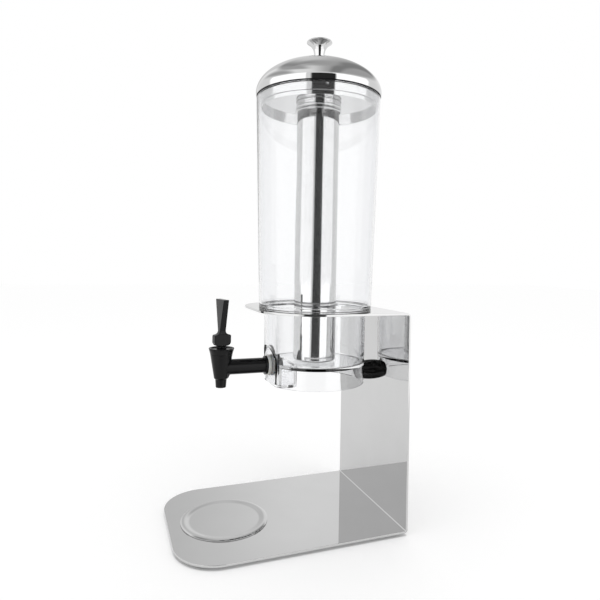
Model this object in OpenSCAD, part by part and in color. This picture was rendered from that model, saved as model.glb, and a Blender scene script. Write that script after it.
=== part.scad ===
// Drink tower dispenser: a clear tall container on a bent steel stand, with an
// ice tube under its domed lid, a self-closing lever tap and a loose drip tray.
// Millimetres. +Z is up, the tap faces -Y, and the origin is at the middle of
// the stand's footprint, on the table.

/* [Stand] */
// Width of the bent sheet
stand_w = 190; // [170:1:220]
// Length from the base's front edge to the upright's rear face
stand_len = 264.4; // [255:0.1:300]
// Height of the shelf's upper face above the table
shelf_h = 262; // [245:1:300]
// Thickness of the sheet
sheet_t = 2.6; // [2:0.1:4]
// Inside radius of the two bends
bend_r = 1.4; // [0.6:0.1:5]
// Radius of the base's two front corners
base_corner_r = 50; // [20:1:75]
// Radius of the shelf's two front corners
shelf_corner_r = 70; // [40:1:80]
// Distance from the container's axis forward to the shelf's edge
shelf_reach = 84; // [80:1:95]
// Distance from the container's axis back to the upright's front face
axis_back = 82.4; // [80:0.1:90]
// Height of the rubber feet
foot_h = 3.4; // [2:0.1:8]
// Radius of a rubber foot
foot_r = 9; // [6:0.5:14]
// Distance of the feet's centres from the stand's sides and rear
foot_inset = 20; // [16:1:40]
// Distance of the front feet's centres from the base's front edge
foot_front_inset = 30; // [26:1:45]

/* [Rear bumper] */
// Height of the bumper's axis above the container's foot
bumper_rise = 9.5; // [4:0.5:14]
// Radius of the bumper where it meets the upright
bumper_r = 12.75; // [10:0.25:15]
// Radius of the bumper's tip
bumper_tip_r = 6.3; // [5:0.1:8]
// Number of grip flutes round the bumper's foot
bumper_flutes = 10; // [6:1:14]
// Radius of one flute
flute_r = 1.8; // [1:0.1:2.5]
// Depth of one flute
flute_depth = 0.9; // [0.4:0.1:1.4]
// Radius of the brass insert in the bumper
insert_r = 3.1; // [2.8:0.1:4]
// Length of the brass insert
insert_len = 8; // [6:0.5:12]
// Radius of the bumper screw's shank
screw_r = 2; // [1.5:0.1:2.4]
// Length of the bumper screw with its sunk head
screw_len = 10; // [8:0.5:12]
// Radius of the screw's sunk head
screw_head_r = 4; // [3:0.1:5]
// Height of the screw's sunk head
screw_head_h = 2.1; // [1.5:0.1:2.4]

/* [Container] */
// Wall thickness of the clear container
wall_t = 3; // [2:0.1:4]
// Outer radius of the lower part at the container's foot
lower_r_foot = 64; // [62:0.1:66]
// Outer radius of the lower part under the shelf
lower_r_top = 65; // [63:0.1:67]
// Outer radius of the shoulder that rests on the shelf
shoulder_r = 71.8; // [70:0.1:74]
// Outer radius at the rim
rim_r = 79.9; // [77:0.1:82]
// Height of the rim above the shelf
upper_h = 267; // [200:1:320]
// Depth of the container below the shelf
lower_h = 94; // [88:1:100]
// Height of the raised floor above the container's foot
floor_rise = 26; // [22:0.5:30]
// Height of the rounded flange at the shoulder
flange_h = 3.4; // [2.5:0.1:6]
// Depth of the groove above the flange
flange_groove = 0.8; // [0.3:0.1:1.5]
// Radius of the fillet round the floor
floor_fillet = 5; // [3:0.5:10]
// Width of the ledge inside the lower wall that the floor is welded to
ledge_w = 1; // [0.5:0.1:2]
// Gap between the container and the hole in the shelf
shelf_gap = 1; // [0.5:0.1:2]
// Distance from the axis to the flat that the tap seats on
tap_flat = 59.5; // [58:0.1:61]
// Radius of the arch at the flat's upper end
arch_r = 25; // [20:0.5:28]
// Half width of the well in the floor below the tap
well_half_w = 28; // [24:0.5:34]
// Length of the well, from the tap's flat inwards
well_len = 22.5; // [20:0.5:26]
// Radius of the well's corners
well_corner_r = 7; // [4:0.5:9]
// Distance from the axis to the small rear flat
rear_flat = 62.7; // [61.5:0.1:63.5]
// Radius of the small rear flat
rear_flat_r = 15; // [10:0.5:18]

/* [Tap body] */
// Distance from the container's axis to the tap's axis
tap_reach = 120.4; // [112:0.2:135]
// Height of the tap's pipe above the container's foot
tap_rise = 22.7; // [21:0.1:25]
// Outer radius of the tap's pipe
pipe_r = 9.25; // [8:0.25:10]
// Radius of the drink's passage
passage_r = 4.6; // [3.5:0.1:5]
// Radius of the collar against the washer
collar_r = 11.5; // [10.5:0.25:12.5]
// Thickness of the collar
collar_t = 3; // [2:0.25:5]
// Radius of the threaded shank through the wall
shank_r = 7.6; // [6.5:0.1:8.5]
// Length of shank past the lock nut
shank_tail = 2; // [1:0.25:3]
// Depth of the spout's mouth below the pipe's axis
spout_drop = 23.9; // [20:0.1:30]
// Length of the narrow spout
spout_len = 9.7; // [6:0.1:12]
// Radius of the spout's mouth
spout_r_low = 6.2; // [5.6:0.1:7]
// Radius of the spout where it leaves the body
spout_r_top = 6.95; // [6:0.05:7.5]
// Depth of the body's foot below the pipe's axis
body_drop = 12.7; // [11:0.1:14]
// Height of the body's shoulder above the pipe's axis
body_rise = 16.3; // [14:0.1:22]
// Radius of the body at its foot
body_r_low = 8.5; // [8:0.1:10]
// Radius of the body at its shoulder
body_r_top = 13.5; // [13:0.1:16]
// Height of the threaded neck inside the bonnet
neck_h = 4; // [3:0.1:6]
// Thickness of the neck's wall
neck_t = 2.4; // [1.6:0.1:3]
// Thickness of the floor that carries the valve seat
seat_floor_t = 3; // [2:0.1:4]
// Radius of the chamber's foot, round the seat
chamber_r_low = 6.6; // [6:0.1:7]
// Radius of the chamber where the cup slides
chamber_r = 9.8; // [9:0.1:10.4]
// Height of the chamber's taper above the pipe's axis
chamber_rise = 5.8; // [5:0.1:8]
// Thickness of the web under the pipe
web_t = 6; // [3:0.5:9]

/* [Tap fittings] */
// Radius of the bonnet's rim
bonnet_r = 15.45; // [14:0.05:17]
// Height of the bonnet's flared side
bonnet_h = 7.2; // [6:0.1:10]
// Width of the bonnet's rim
bonnet_rim_w = 1.2; // [0.8:0.1:2]
// Thickness of the bonnet's crown
bonnet_crown_t = 1.8; // [1.4:0.1:3]
// Radius of the boss that guides the stem
boss_r = 6; // [5:0.1:7]
// Height of the guide boss over the crown
boss_h = 3.8; // [3:0.1:5]
// Number of grip notches round the bonnet
bonnet_notches = 24; // [12:1:32]
// Radius of one grip notch
notch_r = 0.9; // [0.5:0.1:1.1]
// Radius of the outer washer
washer_out_r = 12.7; // [12:0.1:14]
// Thickness of the outer washer
washer_out_t = 4; // [2:0.25:6]
// Radius of the inner washer
washer_in_r = 12.5; // [12:0.1:14]
// Thickness of the inner washer
washer_in_t = 2; // [1:0.25:3]
// Corner radius of the six-sided lock nut
nut_r = 13; // [12:0.1:13.8]
// Thickness of the lock nut
nut_t = 8; // [6:0.25:9]
// Radius of the lock nut's flange
nut_flange_r = 13.6; // [12:0.1:14]
// Thickness of the lock nut's flange
nut_flange_t = 2; // [1:0.25:3]

/* [Valve] */
// Radius of the seat cup's plug
plug_r = 5.7; // [5.2:0.05:6]
// Height of the plug
plug_h = 2; // [1.5:0.1:3]
// Radius of the cup's stalk
stalk_r = 5.2; // [4.8:0.05:5.4]
// Height of the cup's spring seat over the valve seat
cup_web_h = 18.8; // [18:0.1:20]
// Thickness of the cup's web
cup_web_t = 1.6; // [1.2:0.1:2]
// Height of the cup's lip above its web
cup_lip_h = 4.2; // [3:0.1:5]
// Thickness of the cup's lip
cup_lip_t = 1.6; // [1:0.1:2]
// Radius of the stem
stem_r = 2.1; // [1.8:0.05:2.4]
// Radius of the stem's foot, held in the cup
stem_foot_r = 3.8; // [3.2:0.05:4]
// Height of the stem's foot
stem_foot_h = 2.4; // [1.6:0.1:3]
// Height of the stem's foot over the valve seat
stem_foot_z = 6.4; // [5:0.1:8]
// Radius of the eye at the stem's top
eye_r = 3.4; // [2.8:0.1:3.6]
// Radius of the spring's coil, to the middle of its wire
spring_r = 6; // [5.4:0.1:6.4]
// Radius of the spring's wire
wire_r = 0.5; // [0.4:0.05:0.6]
// Number of turns of the spring
spring_turns = 5; // [4:0.5:6]

/* [Lever] */
// Angle by which the lever is turned round its stem
lever_yaw = 11; // [0:1:20]
// Height of the hinge pin over the cam's underside
pin_h = 7.2; // [6.5:0.1:8]
// Radius of the hinge pin
pin_r = 1.5; // [1:0.05:1.8]
// Length of the cam block
cam_len = 21.2; // [19:0.2:24]
// Width of the cam block
cam_w = 8.6; // [8:0.1:10]
// Height of the cam block
cam_h = 13.5; // [13:0.1:15]
// Radius of the cam's lower corners
cam_r = 5; // [4.5:0.1:6]
// Radius of the cam's upper corners
cam_top_r = 2; // [1:0.1:2.5]
// Width of the slot for the stem's eye
slot_w = 4.6; // [4.4:0.1:5]
// Clearance over the stem's eye
slot_top_gap = 0.4; // [0.2:0.1:1]
// Tilt of the lever when it is pulled fully forward
lever_pull = 40; // [20:1:45]
// Height of the handle above the cam block
handle_h = 42.5; // [30:0.5:60]
// Thickness of the handle at its neck
neck_thick = 7.8; // [6:0.1:9]
// Thickness of the handle at its top
handle_thick = 6.8; // [5:0.1:8]
// Width of the handle at its neck
handle_w_low = 7; // [6:0.1:8]
// Width of the handle at its top
handle_w_top = 26; // [18:0.5:32]
// Radius of the fillet where the handle meets the cam
handle_fillet = 5; // [3:0.5:6]
// Radius of the handle's top corners
handle_corner_r = 1.5; // [0.5:0.1:3]

/* [Lid] */
// Outer radius of the dome at its widest
dome_r = 80.9; // [79.9:0.1:84]
// Height of the dome's curve above its widest line
dome_rise = 42.5; // [25:0.5:55]
// Height of the dome's straight side
dome_side_h = 4.6; // [2:0.1:15]
// Amount by which the dome's lower edge draws in
dome_tuck = 0.65; // [0.2:0.05:1.5]
// Thickness of the lid's sheet
lid_t = 0.8; // [0.6:0.1:1.2]
// Height of the dark seal on the rim
seal_h = 1.4; // [1:0.1:4]
// Gap between the lid's skirt and the container's wall
skirt_gap = 0.6; // [0.4:0.05:1]
// Depth of the lid's skirt below the container's rim
skirt_h = 10.3; // [8:0.1:14]
// Step inwards from the skirt to the lip
lip_step = 2; // [1.5:0.1:4]
// Depth of the lip below the skirt
lip_h = 4.7; // [3:0.1:8]
// Height of the mirror disc above the skirt's lower edge
disc_rise = 2.7; // [1.5:0.1:5]
// Radius of one centring dimple
dimple_r = 1.6; // [1.2:0.1:3]
// Height of one centring dimple
dimple_h = 0.4; // [0.2:0.05:0.5]
// Depth of the dimples below the container's rim
dimple_drop = 3; // [2:0.5:6]
// Angle from the lid's side to each dimple of a pair
dimple_angle = 14.5; // [5:0.5:40]
// Radius of the knob
knob_r = 16.5; // [12:0.5:22]
// Height of the knob
knob_h = 28.8; // [20:0.1:45]
// Radius of the knob screw's shank
knob_screw_r = 2.5; // [2:0.1:3]
// Length of the knob screw's shank
knob_screw_len = 16; // [12:0.5:18]
// Radius of the knob screw's head
knob_head_r = 4.6; // [4:0.1:6]
// Height of the knob screw's head
knob_head_h = 3; // [2:0.1:4]
// Radius of the washer under the dome
knob_washer_r = 8; // [7:0.1:10]
// Thickness of the washer under the dome
knob_washer_t = 1; // [0.6:0.1:2]

/* [Ice tube] */
// Outer radius of the ice tube
tube_r = 27; // [20:0.5:32]
// Thickness of the tube's wall
tube_t = 0.8; // [0.6:0.1:1.2]
// Radius of the edge round the tube's foot
tube_foot_r = 3; // [1.5:0.1:6]
// Clearance from the tube's foot to the container's floor
tube_floor_gap = 0.9; // [0.6:0.1:10]
// Height of the collar that holds the tube
collar_h = 9.9; // [8:0.1:16]
// Thickness of the collar's wall
tube_collar_t = 1.9; // [1.7:0.1:3]
// Width of the collar's lip and of each of its beads
bead_h = 2.4; // [1.6:0.1:3]
// Amount by which a bead stands out
bead_out = 0.6; // [0.3:0.1:1]
// Number of bayonet lugs
lugs = 3; // [2:1:4]
// Width of one bayonet lug
lug_w = 10; // [6:0.5:12]
// Height of one bayonet lug
lug_h = 2.6; // [2:0.1:3]
// Amount by which a lug stands out
lug_out = 0.9; // [0.6:0.05:1]
// Thickness of the tube's sealing ring
tube_seal_t = 0.6; // [0.4:0.05:1]
// Angle that the tube turns to come off
twist = 60; // [45:1:70]

/* [Drip tray] */
// Radius of the drip tray
tray_r = 52; // [45:0.5:58]
// Radius of the tray's flat floor
tray_floor_r = 42; // [36:0.5:44]
// Radius of the crest of the tray's rim
tray_crest_r = 49.2; // [47:0.1:50]
// Height of the crest above the tray's floor
tray_rise = 3.7; // [2:0.1:8]
// Drop from the crest to the tray's edge
tray_drop = 1.3; // [0.5:0.1:2]
// Thickness of the tray's sheet
tray_t = 0.8; // [0.6:0.1:1.2]
// Distance from the container's axis to the tray's centre
tray_reach = 113; // [108:0.5:125]

/* [Fits] */
// Radial clearance of parts that slide or turn in each other
run_gap = 0.05; // [0.02:0.01:0.1]
// Radial clearance of threads and pressed parts
thread_gap = 0.02; // [0.01:0.01:0.05]
// Gap that keeps a soft part off the part it meets
soft_gap = 0.3; // [0.2:0.05:0.5]
// Play between the cam's underside and the boss
cam_gap = 0.3; // [0.2:0.05:0.5]

/* [Hidden] */
$fn = 96;
small_fn = 40;
curve_steps = 20;
fillet_steps = 5;
over = 1;

// Places along the stand
front_y = -stand_len / 2;
rear_y = stand_len / 2;
upright_y = rear_y - sheet_t;
axis_y = upright_y - axis_back;
bend_out_r = bend_r + sheet_t;
base_top = foot_h + sheet_t;

// Heights and radii of the container
foot_z = shelf_h - lower_h;
bumper_z = foot_z + bumper_rise;
floor_z = foot_z + floor_rise;
rim_z = shelf_h + upper_h;
rim_in_r = rim_r - wall_t;
seam_z = shelf_h + flange_h;

// Places of the tap
tap_y = axis_y - tap_reach;
tap_z = foot_z + tap_rise;
flat_y = axis_y - tap_flat;
collar_y = flat_y - washer_out_t - collar_t;
nut_y = flat_y + wall_t + washer_in_t;
shank_end_y = nut_y + nut_t + shank_tail;
seat_z = tap_z - body_drop + seat_floor_t;
shoulder_z = tap_z + body_rise;
neck_z = shoulder_z + neck_h;
neck_r = chamber_r + neck_t;
bonnet_z = shoulder_z + thread_gap;
crown_z = neck_z + thread_gap;
dish_z = crown_z + bonnet_crown_t;
boss_z = dish_z + boss_h;
pin_z = boss_z + cam_gap + pin_h;
spring_seat_z = seat_z + run_gap + cup_web_h;
spring_h = crown_z - spring_seat_z - 2 * run_gap;

// Heights and radii of the lid
lid_z = rim_z + seal_h;
dome_z = lid_z + dome_side_h;
apex_z = dome_z + dome_rise;
skirt_r = rim_in_r - skirt_gap;
skirt_z = rim_z - skirt_h;
lip_r = skirt_r - lip_step;
lip_z = skirt_z - lip_h;
disc_z = skirt_z + disc_rise;
flange_r = dome_r - dome_tuck - lid_t - thread_gap;
knob_washer_z = apex_z - lid_t - soft_gap - knob_washer_t;

// Heights and radii of the ice tube
tube_z = floor_z + tube_floor_gap;
tube_top = disc_z - tube_seal_t - 2 * run_gap;
groove_z = disc_z - collar_h + bead_h;
groove_h = lug_h + 2 * soft_gap;
collar_out_r = tube_r + tube_collar_t;
groove_r = tube_r + lug_out + soft_gap;
lug_angle_gap = 360 / lugs;

// Knob's outline from its foot up: share of the radius, share of the height
knob_shares = [[0.394, 0], [0.395, 0.2], [0.408, 0.36], [0.448, 0.5], [0.51, 0.6], [0.616, 0.7],
    [0.744, 0.78], [0.872, 0.84], [0.96, 0.873], [1, 0.9], [0.94, 0.938], [0.707, 0.975], [0.342, 0.994], [0, 1]];

// Points of an arc about (cx, cy) from angle a to angle b
function arc(cx, cy, r, a, b, n) =
    [for (i = [0 : n]) [cx + r * cos(a + (b - a) * i / n), cy + r * sin(a + (b - a) * i / n)]];

// One point between p[i] and p[i + 1] on a smooth curve through all of p
function between(p, i, t) =
    let (a = p[max(i - 1, 0)], b = p[i], c = p[i + 1], d = p[min(i + 2, len(p) - 1)])
    (2 * b + (c - a) * t + (2 * a - 5 * b + 4 * c - d) * t * t
        + (3 * b - a - 3 * c + d) * t * t * t) / 2;

// A smooth curve through p, with n steps between two points
function smooth_path(p, n) = concat(
    [for (i = [0 : len(p) - 2]) for (s = [0 : n - 1]) between(p, i, s / n)], [p[len(p) - 1]]);

// Quarter of an ellipse from its side to its top
function quarter(rx, ry, z) =
    [for (i = [0 : curve_steps]) [rx * cos(90 * i / curve_steps), z + ry * sin(90 * i / curve_steps)]];

module on_axis() {
    translate([0, axis_y, 0]) children();
}

module at_tap() {
    translate([0, tap_y, 0]) children();
}

module at_pin() {
    translate([0, tap_y, pin_z]) rotate([0, 0, lever_yaw]) children();
}

// Turns a piece drawn along +Z so that it runs along +Y from a place
module backwards(y, z) {
    translate([0, y, z]) rotate([-90, 0, 0]) children();
}

// Turns a piece drawn along +Z so that it runs along -Y from a place
module forwards(y, z) {
    translate([0, y, z]) rotate([90, 0, 0]) children();
}

// Extrudes a side view, drawn as (y, z), over the width w
module side_view(w) {
    translate([-w / 2, 0, 0]) rotate([90, 0, 90]) linear_extrude(w) children();
}

module ring(r_out, r_in, h) {
    difference() {
        cylinder(r = r_out, h = h);
        translate([0, 0, -over]) cylinder(r = r_in, h = h + 2 * over);
    }
}

// Rectangle with two round front corners
module rounded_plan(w, y0, y1, r) {
    translate([-w / 2, y0 + r]) square([w, y1 - y0 - r]);
    translate([-w / 2 + r, y0]) square([w - 2 * r, 2 * r]);
    for (side = [-1, 1]) translate([side * (w / 2 - r), y0 + r]) circle(r);
}

// Quarter of a bend about (y, z), towards the rear and up or down
module bend(y, z, up) {
    translate([y, z]) difference() {
        intersection() {
            circle(bend_out_r);
            translate([0, up ? 0 : -bend_out_r]) square(bend_out_r);
        }
        circle(bend_r);
    }
}

// Side view of the upright with both of its bends and their short legs
module upright_section() {
    bend_y = rear_y - bend_out_r;
    for (z = [foot_h, shelf_h - sheet_t]) translate([bend_y - bend_r, z]) square([bend_r, sheet_t]);
    translate([upright_y, foot_h + bend_out_r]) square([sheet_t, shelf_h - foot_h - 2 * bend_out_r]);
    bend(bend_y, foot_h + bend_out_r, false);
    bend(bend_y, shelf_h - bend_out_r, true);
}

module stand_frame() {
    color("silver") difference() {
        union() {
            translate([0, 0, foot_h]) linear_extrude(sheet_t)
                rounded_plan(stand_w, front_y, rear_y - bend_out_r, base_corner_r);
            translate([0, 0, shelf_h - sheet_t]) linear_extrude(sheet_t)
                rounded_plan(stand_w, axis_y - shelf_reach, rear_y - bend_out_r, shelf_corner_r);
            side_view(stand_w) upright_section();
        }
        on_axis() translate([0, 0, shelf_h - sheet_t - over])
            cylinder(r = lower_r_top + shelf_gap, h = sheet_t + 2 * over);
        forwards(rear_y + over, bumper_z) cylinder(r = screw_r + thread_gap, h = sheet_t + 2 * over);
        forwards(rear_y, bumper_z)
            cylinder(r1 = screw_head_r + thread_gap, r2 = screw_r + thread_gap, h = screw_head_h);
    }
}

module foot_pads() {
    x = stand_w / 2 - foot_inset;
    y_front = front_y + foot_front_inset;
    y_back = rear_y - foot_inset;
    color("dimgray") for (side = [-1, 1]) for (y = [y_front, y_back]) translate([side * x, y, 0]) {
        cylinder(r1 = foot_r - foot_h / 4, r2 = foot_r, h = foot_h / 2, $fn = small_fn);
        translate([0, 0, foot_h / 2]) cylinder(r = foot_r, h = foot_h / 2, $fn = small_fn);
    }
}

module rear_bumper() {
    length = axis_back - rear_flat - soft_gap;
    full = length / sqrt(1 - pow(bumper_tip_r / bumper_r, 2));
    color("black") forwards(upright_y, bumper_z) difference() {
        rotate_extrude() polygon(concat([[0, 0]],
            [for (i = [0 : curve_steps]) let (d = length * i / curve_steps)
                [bumper_r * sqrt(1 - pow(d / full, 2)), d]],
            [[0, length]]));
        for (i = [0 : bumper_flutes - 1]) rotate([0, 0, 360 * i / bumper_flutes])
            translate([bumper_r + flute_r - flute_depth, 0, -over])
                cylinder(r = flute_r, h = length + 2 * over, $fn = small_fn);
        translate([0, 0, -over]) cylinder(r = insert_r + thread_gap, h = insert_len + thread_gap + over);
        cylinder(r = screw_r + thread_gap, h = screw_len);
    }
}

module bumper_insert() {
    color("goldenrod") forwards(upright_y, bumper_z) ring(insert_r, screw_r + thread_gap, insert_len);
}

module bumper_screw() {
    color("gray") forwards(rear_y, bumper_z) difference() {
        union() {
            cylinder(r1 = screw_head_r, r2 = screw_r, h = screw_head_h);
            cylinder(r = screw_r, h = screw_len);
        }
        translate([0, 0, -over]) cylinder(r = screw_r / 2, h = screw_head_h / 2 + over, $fn = 6);
    }
}

// Shape cut away in front of a wall face: an arch with straight sides down
module arch_cut(y, r, z_low) {
    depth = rim_r;
    forwards(y, tap_z) cylinder(r = r, h = depth);
    translate([-r, y - depth, z_low]) cube([2 * r, depth, tap_z - z_low]);
}

// Well below the tap, grown outwards by t
module well(z0, z1, t) {
    half = well_half_w + t;
    y0 = flat_y - over;
    y1 = flat_y + wall_t + well_len + t;
    r = well_corner_r + t;
    translate([0, 0, z0]) linear_extrude(z1 - z0) union() {
        translate([-half, y0]) square([2 * half, y1 - r - y0]);
        translate([-half + r, y0]) square([2 * (half - r), y1 - y0]);
        for (side = [-1, 1]) translate([side * (half - r), y1 - r]) circle(r);
    }
}

// The whole container, which three moulded parts make up
module container_shape() {
    taper = (rim_r - shoulder_r) / upper_h;
    lower_taper = (lower_r_top - lower_r_foot) / lower_h;
    edge = wall_t / 3;
    floor_in_r = lower_r_foot + lower_taper * floor_rise - wall_t;
    step_z = shelf_h + wall_t;
    lower_in_r = lower_r_top - wall_t;
    step_in_r = shoulder_r - wall_t;
    outer = concat(
        [[0, foot_z]],
        arc(lower_r_foot - edge, foot_z + edge, edge, -90, 0, fillet_steps),
        [[lower_r_top, shelf_h]],
        arc(shoulder_r - edge, shelf_h + edge, edge, -90, 0, fillet_steps),
        [[shoulder_r, seam_z - flange_groove], [shoulder_r - flange_groove, seam_z],
            [shoulder_r + taper * flange_h, seam_z + flange_groove]],
        arc(rim_r - edge, rim_z - edge, edge, 0, 90, fillet_steps),
        [[0, rim_z]]);
    inner = concat(
        [[0, floor_z]],
        arc(floor_in_r - floor_fillet, floor_z + floor_fillet, floor_fillet, -90, 0, fillet_steps),
        arc(lower_in_r + edge, step_z - edge, edge, 180, 90, fillet_steps),
        arc(step_in_r - edge, step_z + edge, edge, -90, 0, fillet_steps),
        [[rim_in_r, rim_z], [rim_in_r, rim_z + over], [0, rim_z + over]]);
    difference() {
        on_axis() rotate_extrude() polygon(outer);
        arch_cut(flat_y, arch_r, foot_z - over);
        backwards(axis_y + rear_flat, bumper_z) cylinder(r = rear_flat_r, h = wall_t);
        difference() {
            on_axis() rotate_extrude() polygon(inner);
            arch_cut(flat_y + wall_t, arch_r, foot_z - over);
        }
        intersection() {
            well(foot_z + wall_t, floor_z + floor_fillet, 0);
            on_axis() cylinder(r = floor_in_r, h = rim_z);
            translate([-well_half_w, flat_y + wall_t, 0]) cube([2 * well_half_w, well_len, rim_z]);
        }
        difference() {
            on_axis() translate([0, 0, foot_z - over])
                cylinder(r = lower_r_foot - wall_t, h = floor_rise - wall_t + over);
            well(foot_z - 2 * over, floor_z, wall_t);
        }
        backwards(flat_y - over, tap_z) cylinder(r = shank_r + run_gap, h = wall_t + 2 * over);
    }
}

// All that lies over the seam above the flange
module over_seam() {
    on_axis() translate([0, 0, seam_z]) cylinder(r = rim_r + over, h = upper_h);
}

// Room inside the lower wall and its ledge, up to the top of the floor's fillet
module inside_ledge() {
    r = lower_r_foot - wall_t - ledge_w;
    top = floor_z + floor_fillet;
    intersection() {
        on_axis() translate([0, 0, foot_z - over]) cylinder(r = r, h = top - foot_z + over);
        translate([-r, flat_y + wall_t + ledge_w, 0]) cube([2 * r, 2 * r, top + over]);
    }
}

module container_wall() {
    color("gainsboro", 0.35) intersection() {
        container_shape();
        over_seam();
    }
}

module container_base() {
    color("gainsboro", 0.35) difference() {
        container_shape();
        over_seam();
        inside_ledge();
    }
}

module container_floor() {
    color("gainsboro", 0.35) intersection() {
        container_shape();
        inside_ledge();
    }
}

module tap_body() {
    outer = [[0, tap_z - spout_drop], [spout_r_low, tap_z - spout_drop],
        [spout_r_top, tap_z - spout_drop + spout_len], [body_r_low, tap_z - body_drop],
        [body_r_top, shoulder_z], [neck_r, shoulder_z], [neck_r, neck_z], [0, neck_z]];
    chamber = [[0, tap_z - spout_drop - over], [passage_r, tap_z - spout_drop - over],
        [passage_r, seat_z], [chamber_r_low, seat_z],
        [chamber_r - neck_t / 3, tap_z + chamber_rise], [chamber_r, tap_z + chamber_rise],
        [chamber_r, neck_z + over], [0, neck_z + over]];
    web_reach = body_r_top + spout_r_low / 2;
    web_top = tap_z - sqrt(pow(pipe_r, 2) - pow(web_t / 2, 2));
    color("black") difference() {
        union() {
            at_tap() rotate_extrude() polygon(outer);
            backwards(tap_y, tap_z) cylinder(r = pipe_r, h = collar_y - tap_y + collar_t / 2);
            backwards(collar_y, tap_z) cylinder(r = collar_r, h = collar_t);
            backwards(collar_y, tap_z) cylinder(r = shank_r, h = shank_end_y - collar_y);
            side_view(web_t) polygon([[tap_y, tap_z], [tap_y + web_reach, tap_z],
                [tap_y + web_reach, web_top], [tap_y + body_r_low - over, tap_z - body_drop],
                [tap_y, tap_z - body_drop]]);
        }
        at_tap() rotate_extrude() polygon(chamber);
        backwards(tap_y, tap_z) cylinder(r = passage_r, h = shank_end_y - tap_y + over);
    }
}

module tap_bonnet() {
    rim_top = bonnet_z + bonnet_h;
    inside_r = neck_r + thread_gap;
    outline = [[inside_r, bonnet_z], [body_r_top, bonnet_z], [bonnet_r, rim_top],
        [bonnet_r - bonnet_rim_w, rim_top], [bonnet_r - bonnet_rim_w - bonnet_crown_t, dish_z],
        [boss_r, dish_z], [boss_r, boss_z], [stem_r + run_gap, boss_z], [stem_r + run_gap, crown_z],
        [inside_r, crown_z]];
    color("black") at_tap() difference() {
        rotate_extrude() polygon(outline);
        for (i = [0 : bonnet_notches - 1]) rotate([0, 0, 360 * i / bonnet_notches])
            translate([bonnet_r, 0, bonnet_z - over]) cylinder(r = notch_r, h = bonnet_h + 2 * over, $fn = 16);
    }
}

module tap_washer_outer() {
    color("tan") backwards(collar_y + collar_t, tap_z) ring(washer_out_r, shank_r + thread_gap, washer_out_t);
}

module tap_washer_inner() {
    color("tan") backwards(flat_y + wall_t, tap_z) ring(washer_in_r, shank_r + thread_gap, washer_in_t);
}

module tap_lock_nut() {
    color("dimgray") backwards(nut_y, tap_z) difference() {
        union() {
            cylinder(r = nut_flange_r, h = nut_flange_t);
            rotate([0, 0, 30]) cylinder(r = nut_r, h = nut_t, $fn = 6);
        }
        translate([0, 0, -over]) cylinder(r = shank_r + thread_gap, h = nut_t + 2 * over);
    }
}

// Spring: rings of a round wire carried along a helix
wire_sides = 6;
rings_per_turn = 8;
ring_count = spring_turns * rings_per_turn;
helix_z0 = spring_seat_z + run_gap + wire_r;
helix_rise = spring_h - 2 * wire_r;

function helix(i) =
    let (a = 360 * i / rings_per_turn)
    [spring_r * cos(a), spring_r * sin(a), helix_z0 + helix_rise * i / ring_count];

function wire_ring(i) =
    let (a = 360 * i / rings_per_turn, c = helix(i))
    [for (k = [0 : wire_sides - 1]) let (b = 360 * k / wire_sides)
        c + [wire_r * cos(b) * cos(a), wire_r * cos(b) * sin(a), wire_r * sin(b)]];

wire_points = [for (i = [0 : ring_count]) each wire_ring(i)];
wire_sides_faces = [for (i = [0 : ring_count - 1]) for (k = [0 : wire_sides - 1])
    let (a = i * wire_sides + k, b = i * wire_sides + (k + 1) % wire_sides)
    each [[a, b, b + wire_sides], [a, b + wire_sides, a + wire_sides]]];
last_ring = ring_count * wire_sides;
wire_end_faces = [for (k = [1 : wire_sides - 2])
    each [[0, k + 1, k], [last_ring, last_ring + k, last_ring + k + 1]]];
spring_gap = min([for (i = [0 : ring_count - rings_per_turn]) for (j = [i + rings_per_turn - 2 : i + rings_per_turn])
    norm(helix(i) - helix(j))]) - 2 * wire_r;
echo(str("Least gap of the tap spring to itself, in mm: ", spring_gap));

module tap_spring() {
    color("silver") at_tap() polyhedron(points = wire_points, faces = concat(wire_sides_faces, wire_end_faces));
}

module seat_cup() {
    z = seat_z + run_gap;
    web_z = z + cup_web_h;
    lip_out_r = chamber_r - run_gap;
    foot_pocket_z = z + stem_foot_z - run_gap;
    foot_pocket_h = stem_foot_h + 2 * run_gap;
    outline = [[0, z], [plug_r, z], [plug_r, z + plug_h], [stalk_r, z + 2 * plug_h],
        [stalk_r, web_z - 2 * cup_web_t], [lip_out_r, web_z - cup_web_t / 2],
        [lip_out_r, web_z + cup_lip_h], [lip_out_r - cup_lip_t, web_z + cup_lip_h],
        [lip_out_r - cup_lip_t, web_z], [stem_r + run_gap, web_z],
        [stem_r + run_gap, foot_pocket_z + foot_pocket_h],
        [stem_foot_r + run_gap, foot_pocket_z + foot_pocket_h],
        [stem_foot_r + run_gap, foot_pocket_z], [0, foot_pocket_z]];
    color("whitesmoke") at_tap() rotate_extrude() polygon(outline);
}

module tap_stem() {
    foot = seat_z + run_gap + stem_foot_z;
    color("white") at_pin() difference() {
        translate([0, 0, -pin_z]) union() {
            translate([0, 0, foot]) cylinder(r = stem_foot_r, h = stem_foot_h);
            translate([0, 0, foot]) cylinder(r = stem_r, h = pin_z - foot);
            translate([-stem_r, 0, pin_z]) rotate([0, 90, 0]) cylinder(r = eye_r, h = 2 * stem_r);
        }
        translate([-eye_r, 0, 0]) rotate([0, 90, 0]) cylinder(r = pin_r + thread_gap, h = 2 * eye_r);
    }
}

module lever_pin() {
    color("silver") at_pin() translate([-cam_w / 2, 0, 0]) rotate([0, 90, 0])
        cylinder(r = pin_r, h = cam_w, $fn = small_fn);
}

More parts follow.
